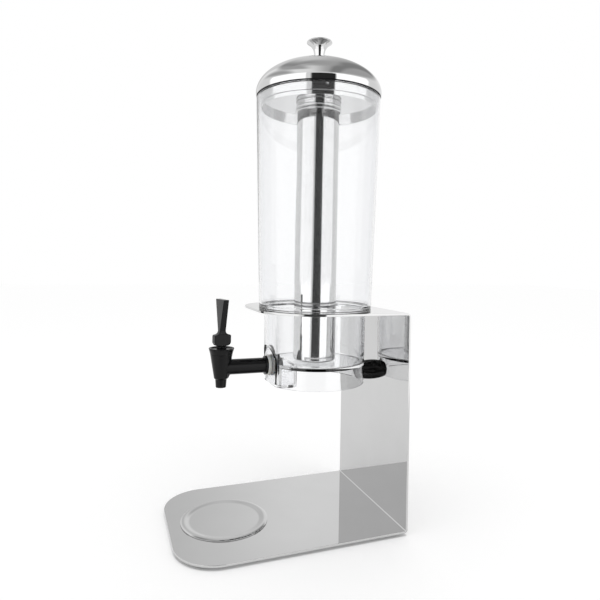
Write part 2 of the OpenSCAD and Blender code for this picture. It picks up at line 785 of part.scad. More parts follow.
// Side view of the lever about its pin, as (y, z)
module lever_side() {
    half = cam_len / 2;
    top = cam_h - pin_h;
    neck = neck_thick / 2;
    tip = handle_thick / 2;
    tip_z = top + handle_h;
    f = min(handle_fillet, half - cam_top_r - neck);
    right = concat(
        arc(half - cam_r, cam_r - pin_h, cam_r, -90, 0, curve_steps),
        arc(half - cam_top_r, top - cam_top_r, cam_top_r, 0, 90, fillet_steps),
        arc(neck + f, top + f, f, 270, 180, fillet_steps),
        arc(tip - handle_corner_r, tip_z - handle_corner_r, handle_corner_r, 0, 90, fillet_steps));
    left = [for (i = [len(right) - 1 : -1 : 0]) [-right[i][0], right[i][1]]];
    polygon(concat(right, left));
}

// Front view of the lever about its pin, as (x, z)
module lever_front() {
    top = cam_h - pin_h;
    tip_z = top + handle_h;
    tip = handle_w_top / 2;
    right = concat(
        [[cam_w / 2, -pin_h], [cam_w / 2, top], [handle_w_low / 2, top + handle_fillet / 2],
            [handle_w_low / 2, top + handle_fillet]],
        arc(tip - handle_corner_r, tip_z - handle_corner_r, handle_corner_r, 0, 90, fillet_steps));
    left = [for (i = [len(right) - 1 : -1 : 0]) [-right[i][0], right[i][1]]];
    polygon(concat(right, left));
}

// Side view of the slot that clears the stem as the lever tilts
module slot_side() {
    s = stem_r + slot_top_gap;
    low = pin_h + over;
    reach = s * cos(lever_pull) + (low + s * sin(lever_pull)) * tan(lever_pull);
    circle(eye_r + slot_top_gap);
    polygon([[s, 0], [s, -low], [-reach, -low], [-s * cos(lever_pull), s * sin(lever_pull)]]);
}

module tap_lever() {
    color("black") at_pin() difference() {
        intersection() {
            side_view(2 * handle_w_top) lever_side();
            translate([0, cam_len, 0]) rotate([90, 0, 0]) linear_extrude(2 * cam_len) lever_front();
        }
        side_view(slot_w) slot_side();
        translate([-cam_w, 0, 0]) rotate([0, 90, 0]) cylinder(r = pin_r + run_gap, h = 2 * cam_w, $fn = small_fn);
    }
}

module lid_dome() {
    low_r = dome_r - dome_tuck;
    inner = quarter(dome_r - lid_t, dome_rise - lid_t, dome_z);
    color("silver") on_axis() difference() {
        rotate_extrude() polygon(concat([[low_r - lid_t, lid_z], [low_r, lid_z]],
            quarter(dome_r, dome_rise, dome_z),
            [for (i = [curve_steps : -1 : 0]) inner[i]]));
        translate([0, 0, dome_z]) cylinder(r = knob_screw_r + thread_gap, h = dome_rise + over);
    }
}

module lid_pan() {
    edge = lid_t;
    outline = concat(
        [[0, disc_z], [lip_r - lid_t, disc_z]],
        [[lip_r - lid_t, lip_z], [lip_r, lip_z], [lip_r, skirt_z]],
        arc(skirt_r - edge, skirt_z + edge, edge, -90, 0, fillet_steps),
        [[skirt_r, lid_z], [flange_r, lid_z], [flange_r, lid_z + lid_t], [skirt_r - lid_t, lid_z + lid_t],
            [skirt_r - lid_t, skirt_z + lid_t], [lip_r, skirt_z + lid_t], [lip_r, disc_z + lid_t],
            [0, disc_z + lid_t]]);
    color("lightgray") on_axis() {
        rotate_extrude() polygon(outline);
        for (side = [0, 180]) for (a = [-dimple_angle, dimple_angle]) rotate([0, 0, side + a])
            translate([skirt_r - lid_t / 2, 0, rim_z - dimple_drop]) rotate([0, 90, 0])
                cylinder(r1 = dimple_r, r2 = dimple_r / 2, h = lid_t / 2 + dimple_h, $fn = small_fn);
    }
}

module lid_seal() {
    color("dimgray") on_axis() translate([0, 0, rim_z]) ring(rim_r, skirt_r + skirt_gap / 2, seal_h);
}

module lid_knob() {
    outline = [for (p = smooth_path(knob_shares, 4)) [max(0, p[0]) * knob_r, min(1, p[1]) * knob_h]];
    color("silver") on_axis() translate([0, 0, apex_z]) difference() {
        rotate_extrude() polygon(concat([[0, 0]], outline));
        translate([0, 0, -over]) cylinder(r = knob_screw_r + thread_gap, h = knob_screw_len + over);
    }
}

module knob_screw() {
    color("gray") on_axis() translate([0, 0, knob_washer_z - knob_head_h]) difference() {
        union() {
            cylinder(r = knob_head_r, h = knob_head_h);
            cylinder(r = knob_screw_r, h = knob_screw_len);
        }
        translate([0, 0, -over]) cylinder(r = knob_screw_r / 2, h = knob_head_h / 2 + over, $fn = 6);
    }
}

module knob_washer() {
    color("gray") on_axis() translate([0, 0, knob_washer_z])
        ring(knob_washer_r, knob_screw_r + thread_gap, knob_washer_t);
}

module tube_collar() {
    z0 = disc_z - collar_h;
    bead = collar_out_r + bead_out;
    mid_z = z0 + 2 * bead_h;
    outline = [[tube_r + soft_gap, z0], [collar_out_r, z0], [bead, z0 + bead_h / 3],
        [bead, z0 + 2 * bead_h / 3], [collar_out_r, z0 + bead_h], [collar_out_r, mid_z],
        [bead, mid_z + bead_h / 3], [bead, mid_z + 2 * bead_h / 3], [collar_out_r, mid_z + bead_h],
        [collar_out_r, disc_z], [tube_r + soft_gap, disc_z], [tube_r + soft_gap, groove_z + groove_h],
        [groove_r, groove_z + groove_h], [groove_r, groove_z], [tube_r + soft_gap, groove_z]];
    color("silver") on_axis() difference() {
        rotate_extrude() polygon(outline);
        for (i = [0 : lugs - 1]) rotate([0, 0, lug_angle_gap * i + twist]) intersection() {
            translate([0, -lug_w / 2 - soft_gap, z0 - over])
                cube([groove_r + over, lug_w + 2 * soft_gap, groove_z + groove_h / 2 - z0 + over]);
            translate([0, 0, z0 - over]) cylinder(r = groove_r - soft_gap / 2, h = collar_h);
        }
    }
}

module tube_seal() {
    color("whitesmoke") on_axis() translate([0, 0, tube_top + run_gap])
        ring(tube_r, tube_r - 2 * tube_t, tube_seal_t);
}

module ice_tube() {
    outer_foot = arc(tube_r - tube_foot_r, tube_z + tube_foot_r, tube_foot_r, -90, 0, fillet_steps);
    inner_foot = arc(tube_r - tube_foot_r, tube_z + tube_foot_r, tube_foot_r - tube_t, 0, -90, fillet_steps);
    lug_z = groove_z + soft_gap;
    color("silver") on_axis() {
        rotate_extrude() polygon(concat([[0, tube_z]], outer_foot,
            [[tube_r, tube_top], [tube_r - tube_t, tube_top]], inner_foot, [[0, tube_z + tube_t]]));
        for (i = [0 : lugs - 1]) rotate([0, 0, lug_angle_gap * i]) intersection() {
            translate([tube_r - tube_t / 2, -lug_w / 2, lug_z]) cube([tube_t + lug_out, lug_w, lug_h]);
            translate([0, 0, lug_z - over]) cylinder(r = tube_r + lug_out, h = lug_h + 2 * over);
        }
    }
}

// Height of the tray's underside over the stand at the radius r
function tray_h(r) = r < tray_crest_r
    ? tray_rise * pow(sin(90 * (r - tray_floor_r) / (tray_crest_r - tray_floor_r)), 2)
    : tray_rise - tray_drop * pow((r - tray_crest_r) / (tray_r - tray_crest_r), 2);

module drip_tray() {
    radii = concat(
        [for (i = [0 : curve_steps]) tray_floor_r + (tray_crest_r - tray_floor_r) * i / curve_steps],
        [for (i = [1 : fillet_steps]) tray_crest_r + (tray_r - tray_crest_r) * i / fillet_steps]);
    count = len(radii);
    color("silver") translate([0, axis_y - tray_reach, base_top]) rotate_extrude() polygon(concat(
        [[0, 0]], [for (r = radii) [r, tray_h(r)]],
        [for (i = [count - 1 : -1 : 0]) [radii[i], tray_h(radii[i]) + tray_t]], [[0, tray_t]]));
}

stand_frame();
foot_pads();
rear_bumper();
bumper_insert();
bumper_screw();
container_wall();
container_base();
container_floor();
tap_body();
tap_bonnet();
tap_washer_outer();
tap_washer_inner();
tap_lock_nut();
tap_spring();
seat_cup();
tap_stem();
lever_pin();
tap_lever();
lid_dome();
lid_pan();
lid_seal();
lid_knob();
knob_screw();
knob_washer();
tube_collar();
tube_seal();
ice_tube();
drip_tray();
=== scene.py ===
# Drink tower dispenser: a clear container with an ice tube, on a bent sheet of polished steel
import math

import bmesh
import bpy
from mathutils import Matrix, Vector


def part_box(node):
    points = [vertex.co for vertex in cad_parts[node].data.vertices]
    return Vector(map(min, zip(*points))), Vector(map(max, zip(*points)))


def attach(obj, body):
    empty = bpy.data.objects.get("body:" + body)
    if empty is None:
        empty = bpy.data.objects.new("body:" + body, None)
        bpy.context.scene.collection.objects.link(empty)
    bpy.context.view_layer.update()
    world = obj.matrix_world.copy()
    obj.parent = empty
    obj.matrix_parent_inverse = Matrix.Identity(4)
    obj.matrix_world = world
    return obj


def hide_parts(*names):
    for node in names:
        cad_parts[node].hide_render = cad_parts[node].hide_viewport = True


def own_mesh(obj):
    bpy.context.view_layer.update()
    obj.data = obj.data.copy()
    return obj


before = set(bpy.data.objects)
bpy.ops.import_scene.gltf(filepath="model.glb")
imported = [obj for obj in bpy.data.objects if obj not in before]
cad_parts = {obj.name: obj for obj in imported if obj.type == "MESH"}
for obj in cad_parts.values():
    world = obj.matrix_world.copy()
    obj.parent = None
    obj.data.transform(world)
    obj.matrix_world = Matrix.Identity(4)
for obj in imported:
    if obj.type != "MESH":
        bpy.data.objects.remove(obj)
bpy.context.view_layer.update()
mm = 0.001

# Millimetres that a cutter runs past the face it cuts, and that an added part runs into its neighbour
past = 2
lap = 1


# Places from the frame, in millimetres
def reach(node, axis):
    low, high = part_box(node)
    return low[axis] / mm, high[axis] / mm


def middle(node, axis):
    return sum(reach(node, axis)) / 2


frontY, rearY = reach("stand_frame", 1)
sideX = reach("stand_frame", 0)[1]
underZ, shelfZ = reach("stand_frame", 2)
footZ = reach("container_base", 2)[0]
rimZ = reach("container_wall", 2)[1]
axisY = middle("lid_knob", 1)
bumperZ = middle("bumper_insert", 2)
tapY = middle("tap_bonnet", 1)
pipeZ = middle("tap_washer_outer", 2)
flatY = reach("tap_washer_outer", 1)[1]
pinZ = middle("lever_pin", 2)
trayY = middle("drip_tray", 1)
trayZ = reach("drip_tray", 2)[0]


# Camera first
cameraView = {
    "place": (637.3, -204.2, 321.5),
    "azimuth": 69.51,
    "rise": 0.3,
    "roll": 1.04,
    "lens": 31.84,
    "shift": (-0.0102, -0.0701),
}


def setCamera():
    bpy.ops.object.camera_add()
    made = bpy.context.object
    turn = Matrix.Rotation(math.radians(cameraView["azimuth"]), 4, "Z")
    tilt = Matrix.Rotation(math.radians(90 + cameraView["rise"]), 4, "X")
    roll = Matrix.Rotation(math.radians(cameraView["roll"]), 4, "Z")
    made.matrix_world = Matrix.Translation(Vector(cameraView["place"]) * mm) @ turn @ tilt @ roll
    made.data.lens = cameraView["lens"]
    made.data.shift_x, made.data.shift_y = cameraView["shift"]
    bpy.context.scene.camera = made


setCamera()
bpy.context.scene.view_settings.view_transform = "Standard"
print("Camera set")


# Shader maths: an expression on a Signal adds its Math nodes
class Signal:
    def __init__(self, recipe, socket):
        self.recipe = recipe
        self.socket = socket

    def math(self, operation, first, second=None):
        sockets = {0: first} if second is None else {0: first, 1: second}
        return self.recipe.node("ShaderNodeMath", {"operation": operation}, sockets)

    def __add__(self, other):
        return self.math("ADD", self, other)

    def __sub__(self, other):
        return self.math("SUBTRACT", self, other)

    def __rsub__(self, other):
        return self.math("SUBTRACT", other, self)

    def __mul__(self, other):
        return self.math("MULTIPLY", self, other)

    def __gt__(self, other):
        return self.math("GREATER_THAN", self, other)

    def __lt__(self, other):
        return self.math("LESS_THAN", self, other)

    def __abs__(self):
        return self.math("ABSOLUTE", self)

    __radd__ = __add__


class Recipe:
    def __init__(self, tree):
        self.tree = tree
        self.tree.nodes.clear()

    def node(self, kind, settings=None, sockets=None, output=0):
        made = self.tree.nodes.new(kind)
        for key, value in (settings or {}).items():
            setattr(made, key, value)
        for key, value in (sockets or {}).items():
            if isinstance(value, Signal):
                self.tree.links.new(value.socket, made.inputs[key])
            else:
                made.inputs[key].default_value = value
        return Signal(self, made.outputs[output]) if made.outputs else None

    def place(self, stretch=(1, 1, 1)):
        spot = self.node("ShaderNodeTexCoord", output="Object")
        return self.node("ShaderNodeMapping", sockets={"Vector": spot, "Scale": stretch})

    def noise(self, size, detail=3, stretch=(1, 1, 1)):
        # grains of about the size, in millimetres
        sockets = {"Vector": self.place(stretch), "Scale": 1 / (size * mm), "Detail": detail}
        return self.node("ShaderNodeTexNoise", sockets=sockets)

    def between(self, mask, low, high):
        # a smooth step of the mask from low to high
        sockets = {"Value": mask, "From Min": low, "From Max": high}
        return self.node("ShaderNodeMapRange", {"interpolation_type": "SMOOTHSTEP"}, sockets)

    def beyond(self, mask, low, high):
        # the same, falling from 1 to 0
        return 1 - self.between(mask, low, high)

    def tint(self, mask, first, second):
        # the sockets of a colour mix are its factor and its two colours
        sockets = {0: mask, 6: grey(first), 7: grey(second)}
        return self.node("ShaderNodeMix", {"data_type": "RGBA"}, sockets, output=2)

    def bump(self, height, strength, depth):
        sockets = {"Height": height, "Strength": strength, "Distance": depth * mm}
        return self.node("ShaderNodeBump", sockets=sockets)

    def dot(self, vector, way):
        settings = {"operation": "DOT_PRODUCT"}
        return self.node("ShaderNodeVectorMath", settings, {0: vector, 1: way}, output="Value")

    def mixed(self, mask, first, second):
        return self.node("ShaderNodeMixShader", sockets={0: mask, 1: first, 2: second})

    def lightPath(self, name):
        return self.node("ShaderNodeLightPath", output=name)

    def surface(self, shader, kind="ShaderNodeOutputMaterial"):
        self.node(kind, sockets={"Surface": shader})

    def coat(self, sockets):
        self.surface(self.node("ShaderNodeBsdfPrincipled", sockets=sockets))


def grey(colour):
    return (colour, colour, colour, 1) if isinstance(colour, float) else (*colour, 1)


def newFinish(name):
    made = bpy.data.materials.new(name)
    made.use_nodes = True
    return made, Recipe(made.node_tree)


# Studio: white all round, a softer ceiling, and two bright panels beside a dark gap behind the camera.
# Strengths are plain numbers. Pairs are the levels between which a part fades in or out: shares of
# upwards and sideways, or degrees from the studio's middle.
studio = {
    "fill": 0.85,
    "ceiling": 0.5,
    "ceilingEdge": (0.44, 0.6),
    "top": (0.9, 1),
    "glow": 0.6,
    "glowEdge": (0.3, -0.35),
    "glowEnd": (-0.55, -0.75),
    "glowTop": (0.72, 0.82),
    "glowTopSide": (-0.1, -0.4),
    "shade": 0.2,
    "shadeMiddle": 0.4,
    "shadeEdge": (0.06, 0.2),
    "dim": 0.26,
    "dimEdge": (0.02, -0.26),
    "dimEnd": (-0.38, -0.53),
    "panel": 1.7,
    "panelNear": (22, 25),
    "panelFar": (92, 100),
    "panelTop": (0.43, 0.49),
    "gap": 0.03,
    "gapMiddle": 7,
    "gapEdge": (19, 24),
    "gapTop": (0.37, 0.43),
}


def frontAndSide(mix, way):
    # how far a direction leads to the front of the studio, and to its right
    azimuth = math.radians(cameraView["azimuth"])
    near = mix.dot(way, (math.sin(azimuth), -math.cos(azimuth), 0))
    side = mix.dot(way, (math.cos(azimuth), math.sin(azimuth), 0))
    return near, side


def panelAndGap(mix, near, side):
    # the two sectors of the studio's front, by the angle from its middle
    angle = near.math("ARCTAN2", side, near) * math.degrees(1)
    panel = mix.between(abs(angle), *studio["panelNear"]) * mix.beyond(abs(angle), *studio["panelFar"])
    gap = mix.beyond(abs(angle - studio["gapMiddle"]), *studio["gapEdge"])
    return panel, gap


def rayKinds(mix):
    # rays that show a thing, and those of them that a mirror has turned. A ray that has passed two or three
    # faces is inside a clear wall or just out of it, and isn't counted as turned.
    straight = mix.lightPath("Is Camera Ray") + mix.lightPath("Is Transmission Ray")
    passed = mix.lightPath("Transmission Depth")
    insideWall = (passed > 1.5) * (passed < 3.5)
    bounced = (mix.lightPath("Glossy Depth") > 0.5) * (straight + mix.lightPath("Is Glossy Ray"))
    return straight, bounced * (1 - insideWall)


def ceilingLight(mix, up, side):
    # brighter towards the left, with a band of shade on the right, and plain at the very top
    glow = mix.between(side, *studio["glowEdge"]) * mix.beyond(side, *studio["glowEnd"])
    glow = glow * (1 - mix.between(up, *studio["glowTop"]) * mix.between(side, *studio["glowTopSide"]))
    shade = mix.beyond(abs(side - studio["shadeMiddle"]), *studio["shadeEdge"])
    change = glow * studio["glow"] - shade * studio["shade"]
    return studio["ceiling"] + change * mix.beyond(up, *studio["top"])


def lightStudio():
    world = bpy.data.worlds.new("studio")
    bpy.context.scene.world = world
    world.use_nodes = True
    mix = Recipe(world.node_tree)
    way = mix.node("ShaderNodeTexCoord", output="Generated")
    near, side = frontAndSide(mix, way)
    up = mix.dot(way, (0, 0, 1))
    bright = 1 - mix.between(up, *studio["ceilingEdge"]) * (1 - ceilingLight(mix, up, side))
    left = mix.between(side, *studio["dimEdge"]) * mix.beyond(side, *studio["dimEnd"]) * (near < 0)
    bright = bright * (1 - left * studio["dim"])
    panel, gap = panelAndGap(mix, near, side)
    panel = panel * mix.beyond(up, *studio["panelTop"])
    bright = bright + panel * (studio["panel"] - bright)
    gap = gap * mix.beyond(up, *studio["gapTop"])
    bright = bright + gap * (studio["gap"] - bright)
    white, fill, shine = (mix.node("ShaderNodeBackground", sockets={"Color": grey(1.0), "Strength": strength})
        for strength in (1, studio["fill"], bright))
    straight, bounced = rayKinds(mix)
    mix.surface(mix.mixed(bounced, mix.mixed(straight, fill, white), shine), "ShaderNodeOutputWorld")


# Lamps: watts, and metres
lamps = {
    "overheadPower": 1.5,
    "overheadSize": 1.6,
    "overheadPlace": (0.1, -0.1, 1.8),
    "overheadTarget": (0, 0, 0.2),
    "frontPower": 0.75,
    "frontSize": 0.9,
    "frontTurn": 55,
    "frontAway": 1.2,
    "frontHeight": 0.6,
    "frontTarget": (0, 0, 0.3),
}


def addLamp(name, place):
    bpy.ops.object.light_add(type="AREA", location=place)
    lamp = bpy.context.object
    lamp.name = name
    lamp.data.energy = lamps[name + "Power"]
    lamp.data.size = lamps[name + "Size"]
    way = Vector(lamps[name + "Target"]) - Vector(place)
    lamp.rotation_euler = way.to_track_quat("-Z", "Y").to_euler()
    lamp.visible_glossy = False
    lamp.visible_camera = False
    lamp.visible_transmission = False


def addLamps():
    addLamp("overhead", lamps["overheadPlace"])
    away = lamps["frontAway"]
    for across in (-1, 1):
        azimuth = math.radians(cameraView["azimuth"] + across * lamps["frontTurn"])
        addLamp("front", (away * math.sin(azimuth), -away * math.cos(azimuth), lamps["frontHeight"]))


# Floor: strengths of its glow and of its mirror image, and the painted shadow under the stand, where the glow
# is left out
ground = {
    "size": 12,
    "colour": 0.84,
    "glow": 0.275,
    "shine": 0.29,
    "panel": 0.5,
    "nearEdge": (0.35, 0.55),
    # the painted shadow under the stand: the corner radius of its shape, and where it fades at the corners
    # and at the rear, in millimetres
    "corner": 50,
    "cornerEdge": (48, 51),
    "rearEdge": (131, 133),
}


def outsidePaintedShadow(mix):
    # painted shadow: 0 under the rounded shape of the stand's base, where the floor's glow is left out, and 1
    # round it
    spot = mix.place()
    inX = sideX - ground["corner"]
    inY = -frontY - ground["corner"]
    outwards = abs(mix.dot(spot, (1 / mm, 0, 0))) - inX
    onwards = mix.dot(spot, (0, -1 / mm, 0)) - inY
    outwards = outwards.math("MAXIMUM", outwards, 0)
    onwards = onwards.math("MAXIMUM", onwards, 0)
    away = outwards.math("SQRT", outwards * outwards + onwards * onwards)
    before = mix.beyond(mix.dot(spot, (0, 1 / mm, 0)), *ground["rearEdge"])
    return 1 - mix.beyond(away, *ground["cornerEdge"]) * before


def layFloor():
    bpy.ops.mesh.primitive_plane_add(size=ground["size"])
    floor = bpy.context.object
    floor.name = "floor"
    finish, mix = newFinish("floorPaper")
    matt = mix.node("ShaderNodeBsdfDiffuse", sockets={"Color": grey(ground["colour"])})
    near, side = frontAndSide(mix, mix.place())
    panel, gap = panelAndGap(mix, near, side)
    away = mix.between(near, *ground["nearEdge"])
    straight, bounced = rayKinds(mix)
    mirrored = bounced * (ground["shine"] + panel * away * ground["panel"])
    # the glow is left out under the stand, a painted shadow there
    strength = straight * (1 - bounced) * outsidePaintedShadow(mix) * ground["glow"] + mirrored
    glow = mix.node("ShaderNodeEmission", sockets={"Color": grey(1.0), "Strength": strength})
    paper = mix.node("ShaderNodeAddShader", sockets={0: matt, 1: glow})
    dark = mix.node("ShaderNodeBsdfDiffuse", sockets={"Color": grey(studio["gap"])})
    mix.surface(mix.mixed(bounced * gap * away, paper, dark))
    floor.data.materials.append(finish)


lightStudio()
addLamps()
layFloor()
print("Studio lit")


# Finishes: sizes of their clouds and grains in millimetres, and how much each one changes
mirrorLook = {
    "cloud": 40,
    "tone": 0.03,
    "ripple": 28,
    "rippleStrength": 0.12,
    "smear": 9,
    "smearStretch": (1, 1, 0.4),
    "smearEdge": (0.45, 0.8),
    "smearHaze": 0.7,
    "grain": 0.5,
    "grainHaze": 0.004,
}
turnedLook = {
    "cloud": 22,
    "tone": 0.04,
    "lineSize": 40,
    "lineHaze": 0.6,
    "lineDepth": 0.01,
}
mouldedLook = {
    "cloud": 14,
    "darker": 0.86,
    "cloudHaze": 0.3,
    "bumpStrength": 0.15,
    "glow": (0.004, 0.003, 0.002),
}
clearLook = {
    "cloud": 50,
    "cloudTone": 0.05,
    "cloudStrength": 0.05,
    "cloudDepth": 0.05,
    # painted shade: the wall's tint goes from the middle colour to the darker edge colour where the wall is
    # seen edge-on, standing in for the grey edges that refraction and reflection give
    "middle": (0.952, 0.955, 0.96),
    "edge": (0.86, 0.865, 0.885),
    "edgeShadeFrom": (0.15, 0.95),
    "scuff": 1.6,
    "scuffStretch": (1, 1, 0.25),
    "scuffEdge": (0.62, 0.9),
    "scuffHaze": 0.05,
    "index": 1.49,
}


def cloudy(mix, cloud, shade, tone):
    return mix.tint(cloud, shade * (1 - tone), shade * (1 + tone))


def mirrorSteel(name, shade=0.58, wave=0.004, haze=0.03):
    look = mirrorLook
    finish, mix = newFinish(name)
    cloud = mix.noise(look["cloud"], 4)
    smear = mix.between(mix.noise(look["smear"], 5, look["smearStretch"]), *look["smearEdge"])
    grain = mix.noise(look["grain"], 2)
    mix.coat({
        "Base Color": cloudy(mix, cloud, shade, look["tone"]),
        "Metallic": 1.0,
        "Roughness": haze + smear * haze * look["smearHaze"] + grain * look["grainHaze"],
        "Normal": mix.bump(mix.noise(look["ripple"], 1), look["rippleStrength"], wave),
    })
    return finish


def turnedSteel(name, shade, haze, line=0.25, along=(1, 1, 40), relief=0.08):
    look = turnedLook
    finish, mix = newFinish(name)
    lines = mix.noise(line * look["lineSize"], 4, along)
    cloud = mix.noise(look["cloud"], 3)
    mix.coat({
        "Base Color": cloudy(mix, cloud, shade, look["tone"]),
        "Metallic": 1.0,
        "Roughness": haze + lines * haze * look["lineHaze"],
        "Normal": mix.bump(lines, relief, look["lineDepth"]),
    })
    return finish


def moulded(name, colour, roughness, speckle=0.4, bumpDepth=0.02, glass=1.45, soften=0.0):
    look = mouldedLook
    finish, mix = newFinish(name)
    cloud = mix.noise(look["cloud"], 3)
    dark = tuple(c * look["darker"] for c in colour)
    half = look["cloudHaze"] / 2
    mix.coat({
        "Base Color": mix.tint(cloud, dark, colour),
        "Roughness": roughness * (1 - half) + cloud * roughness * look["cloudHaze"],
        "IOR": glass,
        "Subsurface Weight": soften,
        "Subsurface Radius": look["glow"],
        "Normal": mix.bump(mix.noise(speckle, 3), look["bumpStrength"], bumpDepth),
    })
    return finish


def clearPlastic(name):
    look = clearLook
    finish, mix = newFinish(name)
    cloud = mix.noise(look["cloud"], 2)
    scuff = mix.noise(look["scuff"], 6, look["scuffStretch"])
    facing = mix.node("ShaderNodeLayerWeight", sockets={"Blend": 0.5}, output="Facing")
    # painted edge shade where the wall is seen edge-on, with a random change of tone from the cloud
    edgeShadeAndTone = mix.between(facing, *look["edgeShadeFrom"]) + (cloud - 0.5) * look["cloudTone"]
    mix.coat({
        "Base Color": mix.tint(edgeShadeAndTone, look["middle"], look["edge"]),
        "Roughness": mix.between(scuff, *look["scuffEdge"]) * look["scuffHaze"],
        "IOR": look["index"],
        "Transmission Weight": 1.0,
        "Normal": mix.bump(cloud, look["cloudStrength"], look["cloudDepth"]),
    })
    return finish


finishes = {
    "stand": mirrorSteel("standMirror"),
    "lid": mirrorSteel("lidMirror", 0.62, 0.003, 0.025),
    "tray": mirrorSteel("trayMirror", 0.57, 0.003, 0.04),
    "tube": turnedSteel("tubeSteel", 0.62, 0.06, 0.4, (30, 30, 1), 0.006),
    "brass": turnedSteel("insertBrass", 0.6, 0.2),
    "fastener": turnedSteel("fastenerSteel", 0.5, 0.18),
    "clear": clearPlastic("containerClear"),
    "black": moulded("tapBlack", (0.005, 0.005, 0.0055), 0.22, 0.8, 0.008, 1.29),
    "rubber": moulded("bumperRubber", (0.003, 0.003, 0.003), 0.2, 0.3, 0.01, 1.34),
    "feet": moulded("footRubber", (0.03, 0.03, 0.03), 0.6, 0.3, 0.02),
    "seal": moulded("sealRubber", (0.008, 0.008, 0.009), 0.5, 0.3, 0.02, 1.3),
    "silicone": moulded("washerSilicone", (0.74, 0.74, 0.72), 0.35, 0.5, 0.01, 1.41, 0.35),
    "nut": moulded("nutPlastic", (0.06, 0.062, 0.065), 0.35, 0.5, 0.01),
    "white": moulded("valvePlastic", (0.72, 0.71, 0.68), 0.35, 0.5, 0.01, 1.45, 0.15),
}
print("Finishes mixed")


# Modelling helpers
def start():
    if bpy.context.mode != "OBJECT":
        bpy.ops.object.mode_set(mode="OBJECT")
    bpy.ops.object.select_all(action="DESELECT")


def activate(piece):
    start()
    piece.select_set(True)
    bpy.context.view_layer.objects.active = piece


def shape(piece):
    activate(piece)
    bpy.ops.object.mode_set(mode="EDIT")


def fix(piece, name=None):
    # back to object mode, with the piece's place in its mesh
    activate(piece)
    bpy.ops.object.transform_apply(location=True, rotation=True, scale=True)
    if name:
        piece.name = piece.data.name = name
    return piece


def pick(kind, test):
    # in edit mode, selects the parts whose middle passes the test
    mode = {"verts": "VERT", "edges": "EDGE", "faces": "FACE"}[kind]
    bpy.ops.mesh.select_mode(type=mode)
    bpy.ops.mesh.select_all(action="DESELECT")
    net = bmesh.from_edit_mesh(bpy.context.edit_object.data)
    for part in getattr(net, kind):
        spots = [part.co] if kind == "verts" else [v.co for v in part.verts]
        spot = sum(spots, Vector()) / len(spots) / mm
        if test(spot):
            part.select_set(True)
    net.select_flush_mode()
    bmesh.update_edit_mesh(bpy.context.edit_object.data)


def at(value, level):
    # whether a place is at a level, in millimetres
    return abs(value - level) < 0.1


def shares(count, first=0):
    # even steps up to 1
    return [k / count for k in range(first, count + 1)]


def applyChange(piece, kind, **settings):
    change = piece.modifiers.new(kind.lower(), kind)
    for key, value in settings.items():
        setattr(change, key, value)
    activate(piece)
    bpy.ops.object.modifier_apply(modifier=change.name)


def carve(piece, cutter, how="DIFFERENCE"):
    applyChange(piece, "BOOLEAN", operation=how, object=cutter, solver="EXACT")
    bpy.data.objects.remove(cutter)
    return piece


def soften(piece, width, segments=2, angle=40):
    applyChange(piece, "BEVEL", width=width * mm, segments=segments, limit_method="ANGLE",
        angle_limit=math.radians(angle), use_clamp_overlap=True)


def block(name, size, place):
    start()
    bpy.ops.mesh.primitive_cube_add(size=1, location=Vector(place) * mm, scale=Vector(size) * mm)
    return fix(bpy.context.object, name)


quarter = math.radians(90)
wayTo = {
    "up": (0, 0, 0),
    "front": (quarter, 0, 0),
    "back": (-quarter, 0, 0),
    "right": (0, quarter, 0),
}


def rod(name, radius, length, place, way="up", sides=64, tipRadius=None):
    # a cutter that starts at the place and runs its way
    start()
    tip = radius if tipRadius is None else tipRadius
    bpy.ops.mesh.primitive_cone_add(vertices=sides, radius1=radius * mm, radius2=tip * mm,
        depth=length * mm, location=(0, 0, length * mm / 2))
    made = fix(bpy.context.object, name)
    made.rotation_euler = wayTo[way]
    made.location = Vector(place) * mm
    return fix(made)


def rounded(corners, steps=5):
    # an outline whose corners may carry a radius
    outline = []
    for i, corner in enumerate(corners):
        here = Vector(corner[:2])
        if len(corner) == 2:
            outline.append(here)
            continue
        back = (Vector(corners[i - 1][:2]) - here).normalized()
        ahead = (Vector(corners[(i + 1) % len(corners)][:2]) - here).normalized()
        half = back.angle(ahead) / 2
        centre = here + (back + ahead).normalized() * corner[2] / math.sin(half)
        first = here + back * corner[2] / math.tan(half) - centre
        last = here + ahead * corner[2] / math.tan(half) - centre
        turns = [first.slerp(last, share).normalized() for share in shares(steps)]
        outline += [centre + turn * corner[2] for turn in turns]
    return outline


def turned(name, outline, place, way="up", steps=96):
    # spins an outline of (radius, height) about the way
    start()
    bpy.ops.mesh.primitive_plane_add(size=mm)
    made = bpy.context.object
    bpy.ops.object.mode_set(mode="EDIT")
    bpy.ops.mesh.select_mode(type="VERT")
    bpy.ops.mesh.select_all(action="SELECT")
    bpy.ops.mesh.merge(type="CENTER")
    bpy.ops.transform.translate(value=(outline[0][0] * mm, 0, outline[0][1] * mm))
    for before, after in zip(outline, outline[1:]):
        step = ((after[0] - before[0]) * mm, 0, (after[1] - before[1]) * mm)
        bpy.ops.mesh.extrude_vertices_move(TRANSFORM_OT_translate={"value": step})
    bpy.ops.mesh.select_all(action="SELECT")
    bpy.ops.mesh.spin(steps=steps, angle=math.tau, center=(0, 0, 0), axis=(0, 0, 1))
    bpy.ops.mesh.select_all(action="SELECT")
    bpy.ops.mesh.remove_doubles(threshold=mm / 500)
    bpy.ops.mesh.normals_make_consistent(inside=False)
    fix(made, name)
    made.rotation_euler = wayTo[way]
    made.location = Vector(place) * mm
    return fix(made)


def closed(outline):
    return [*outline, outline[0]]


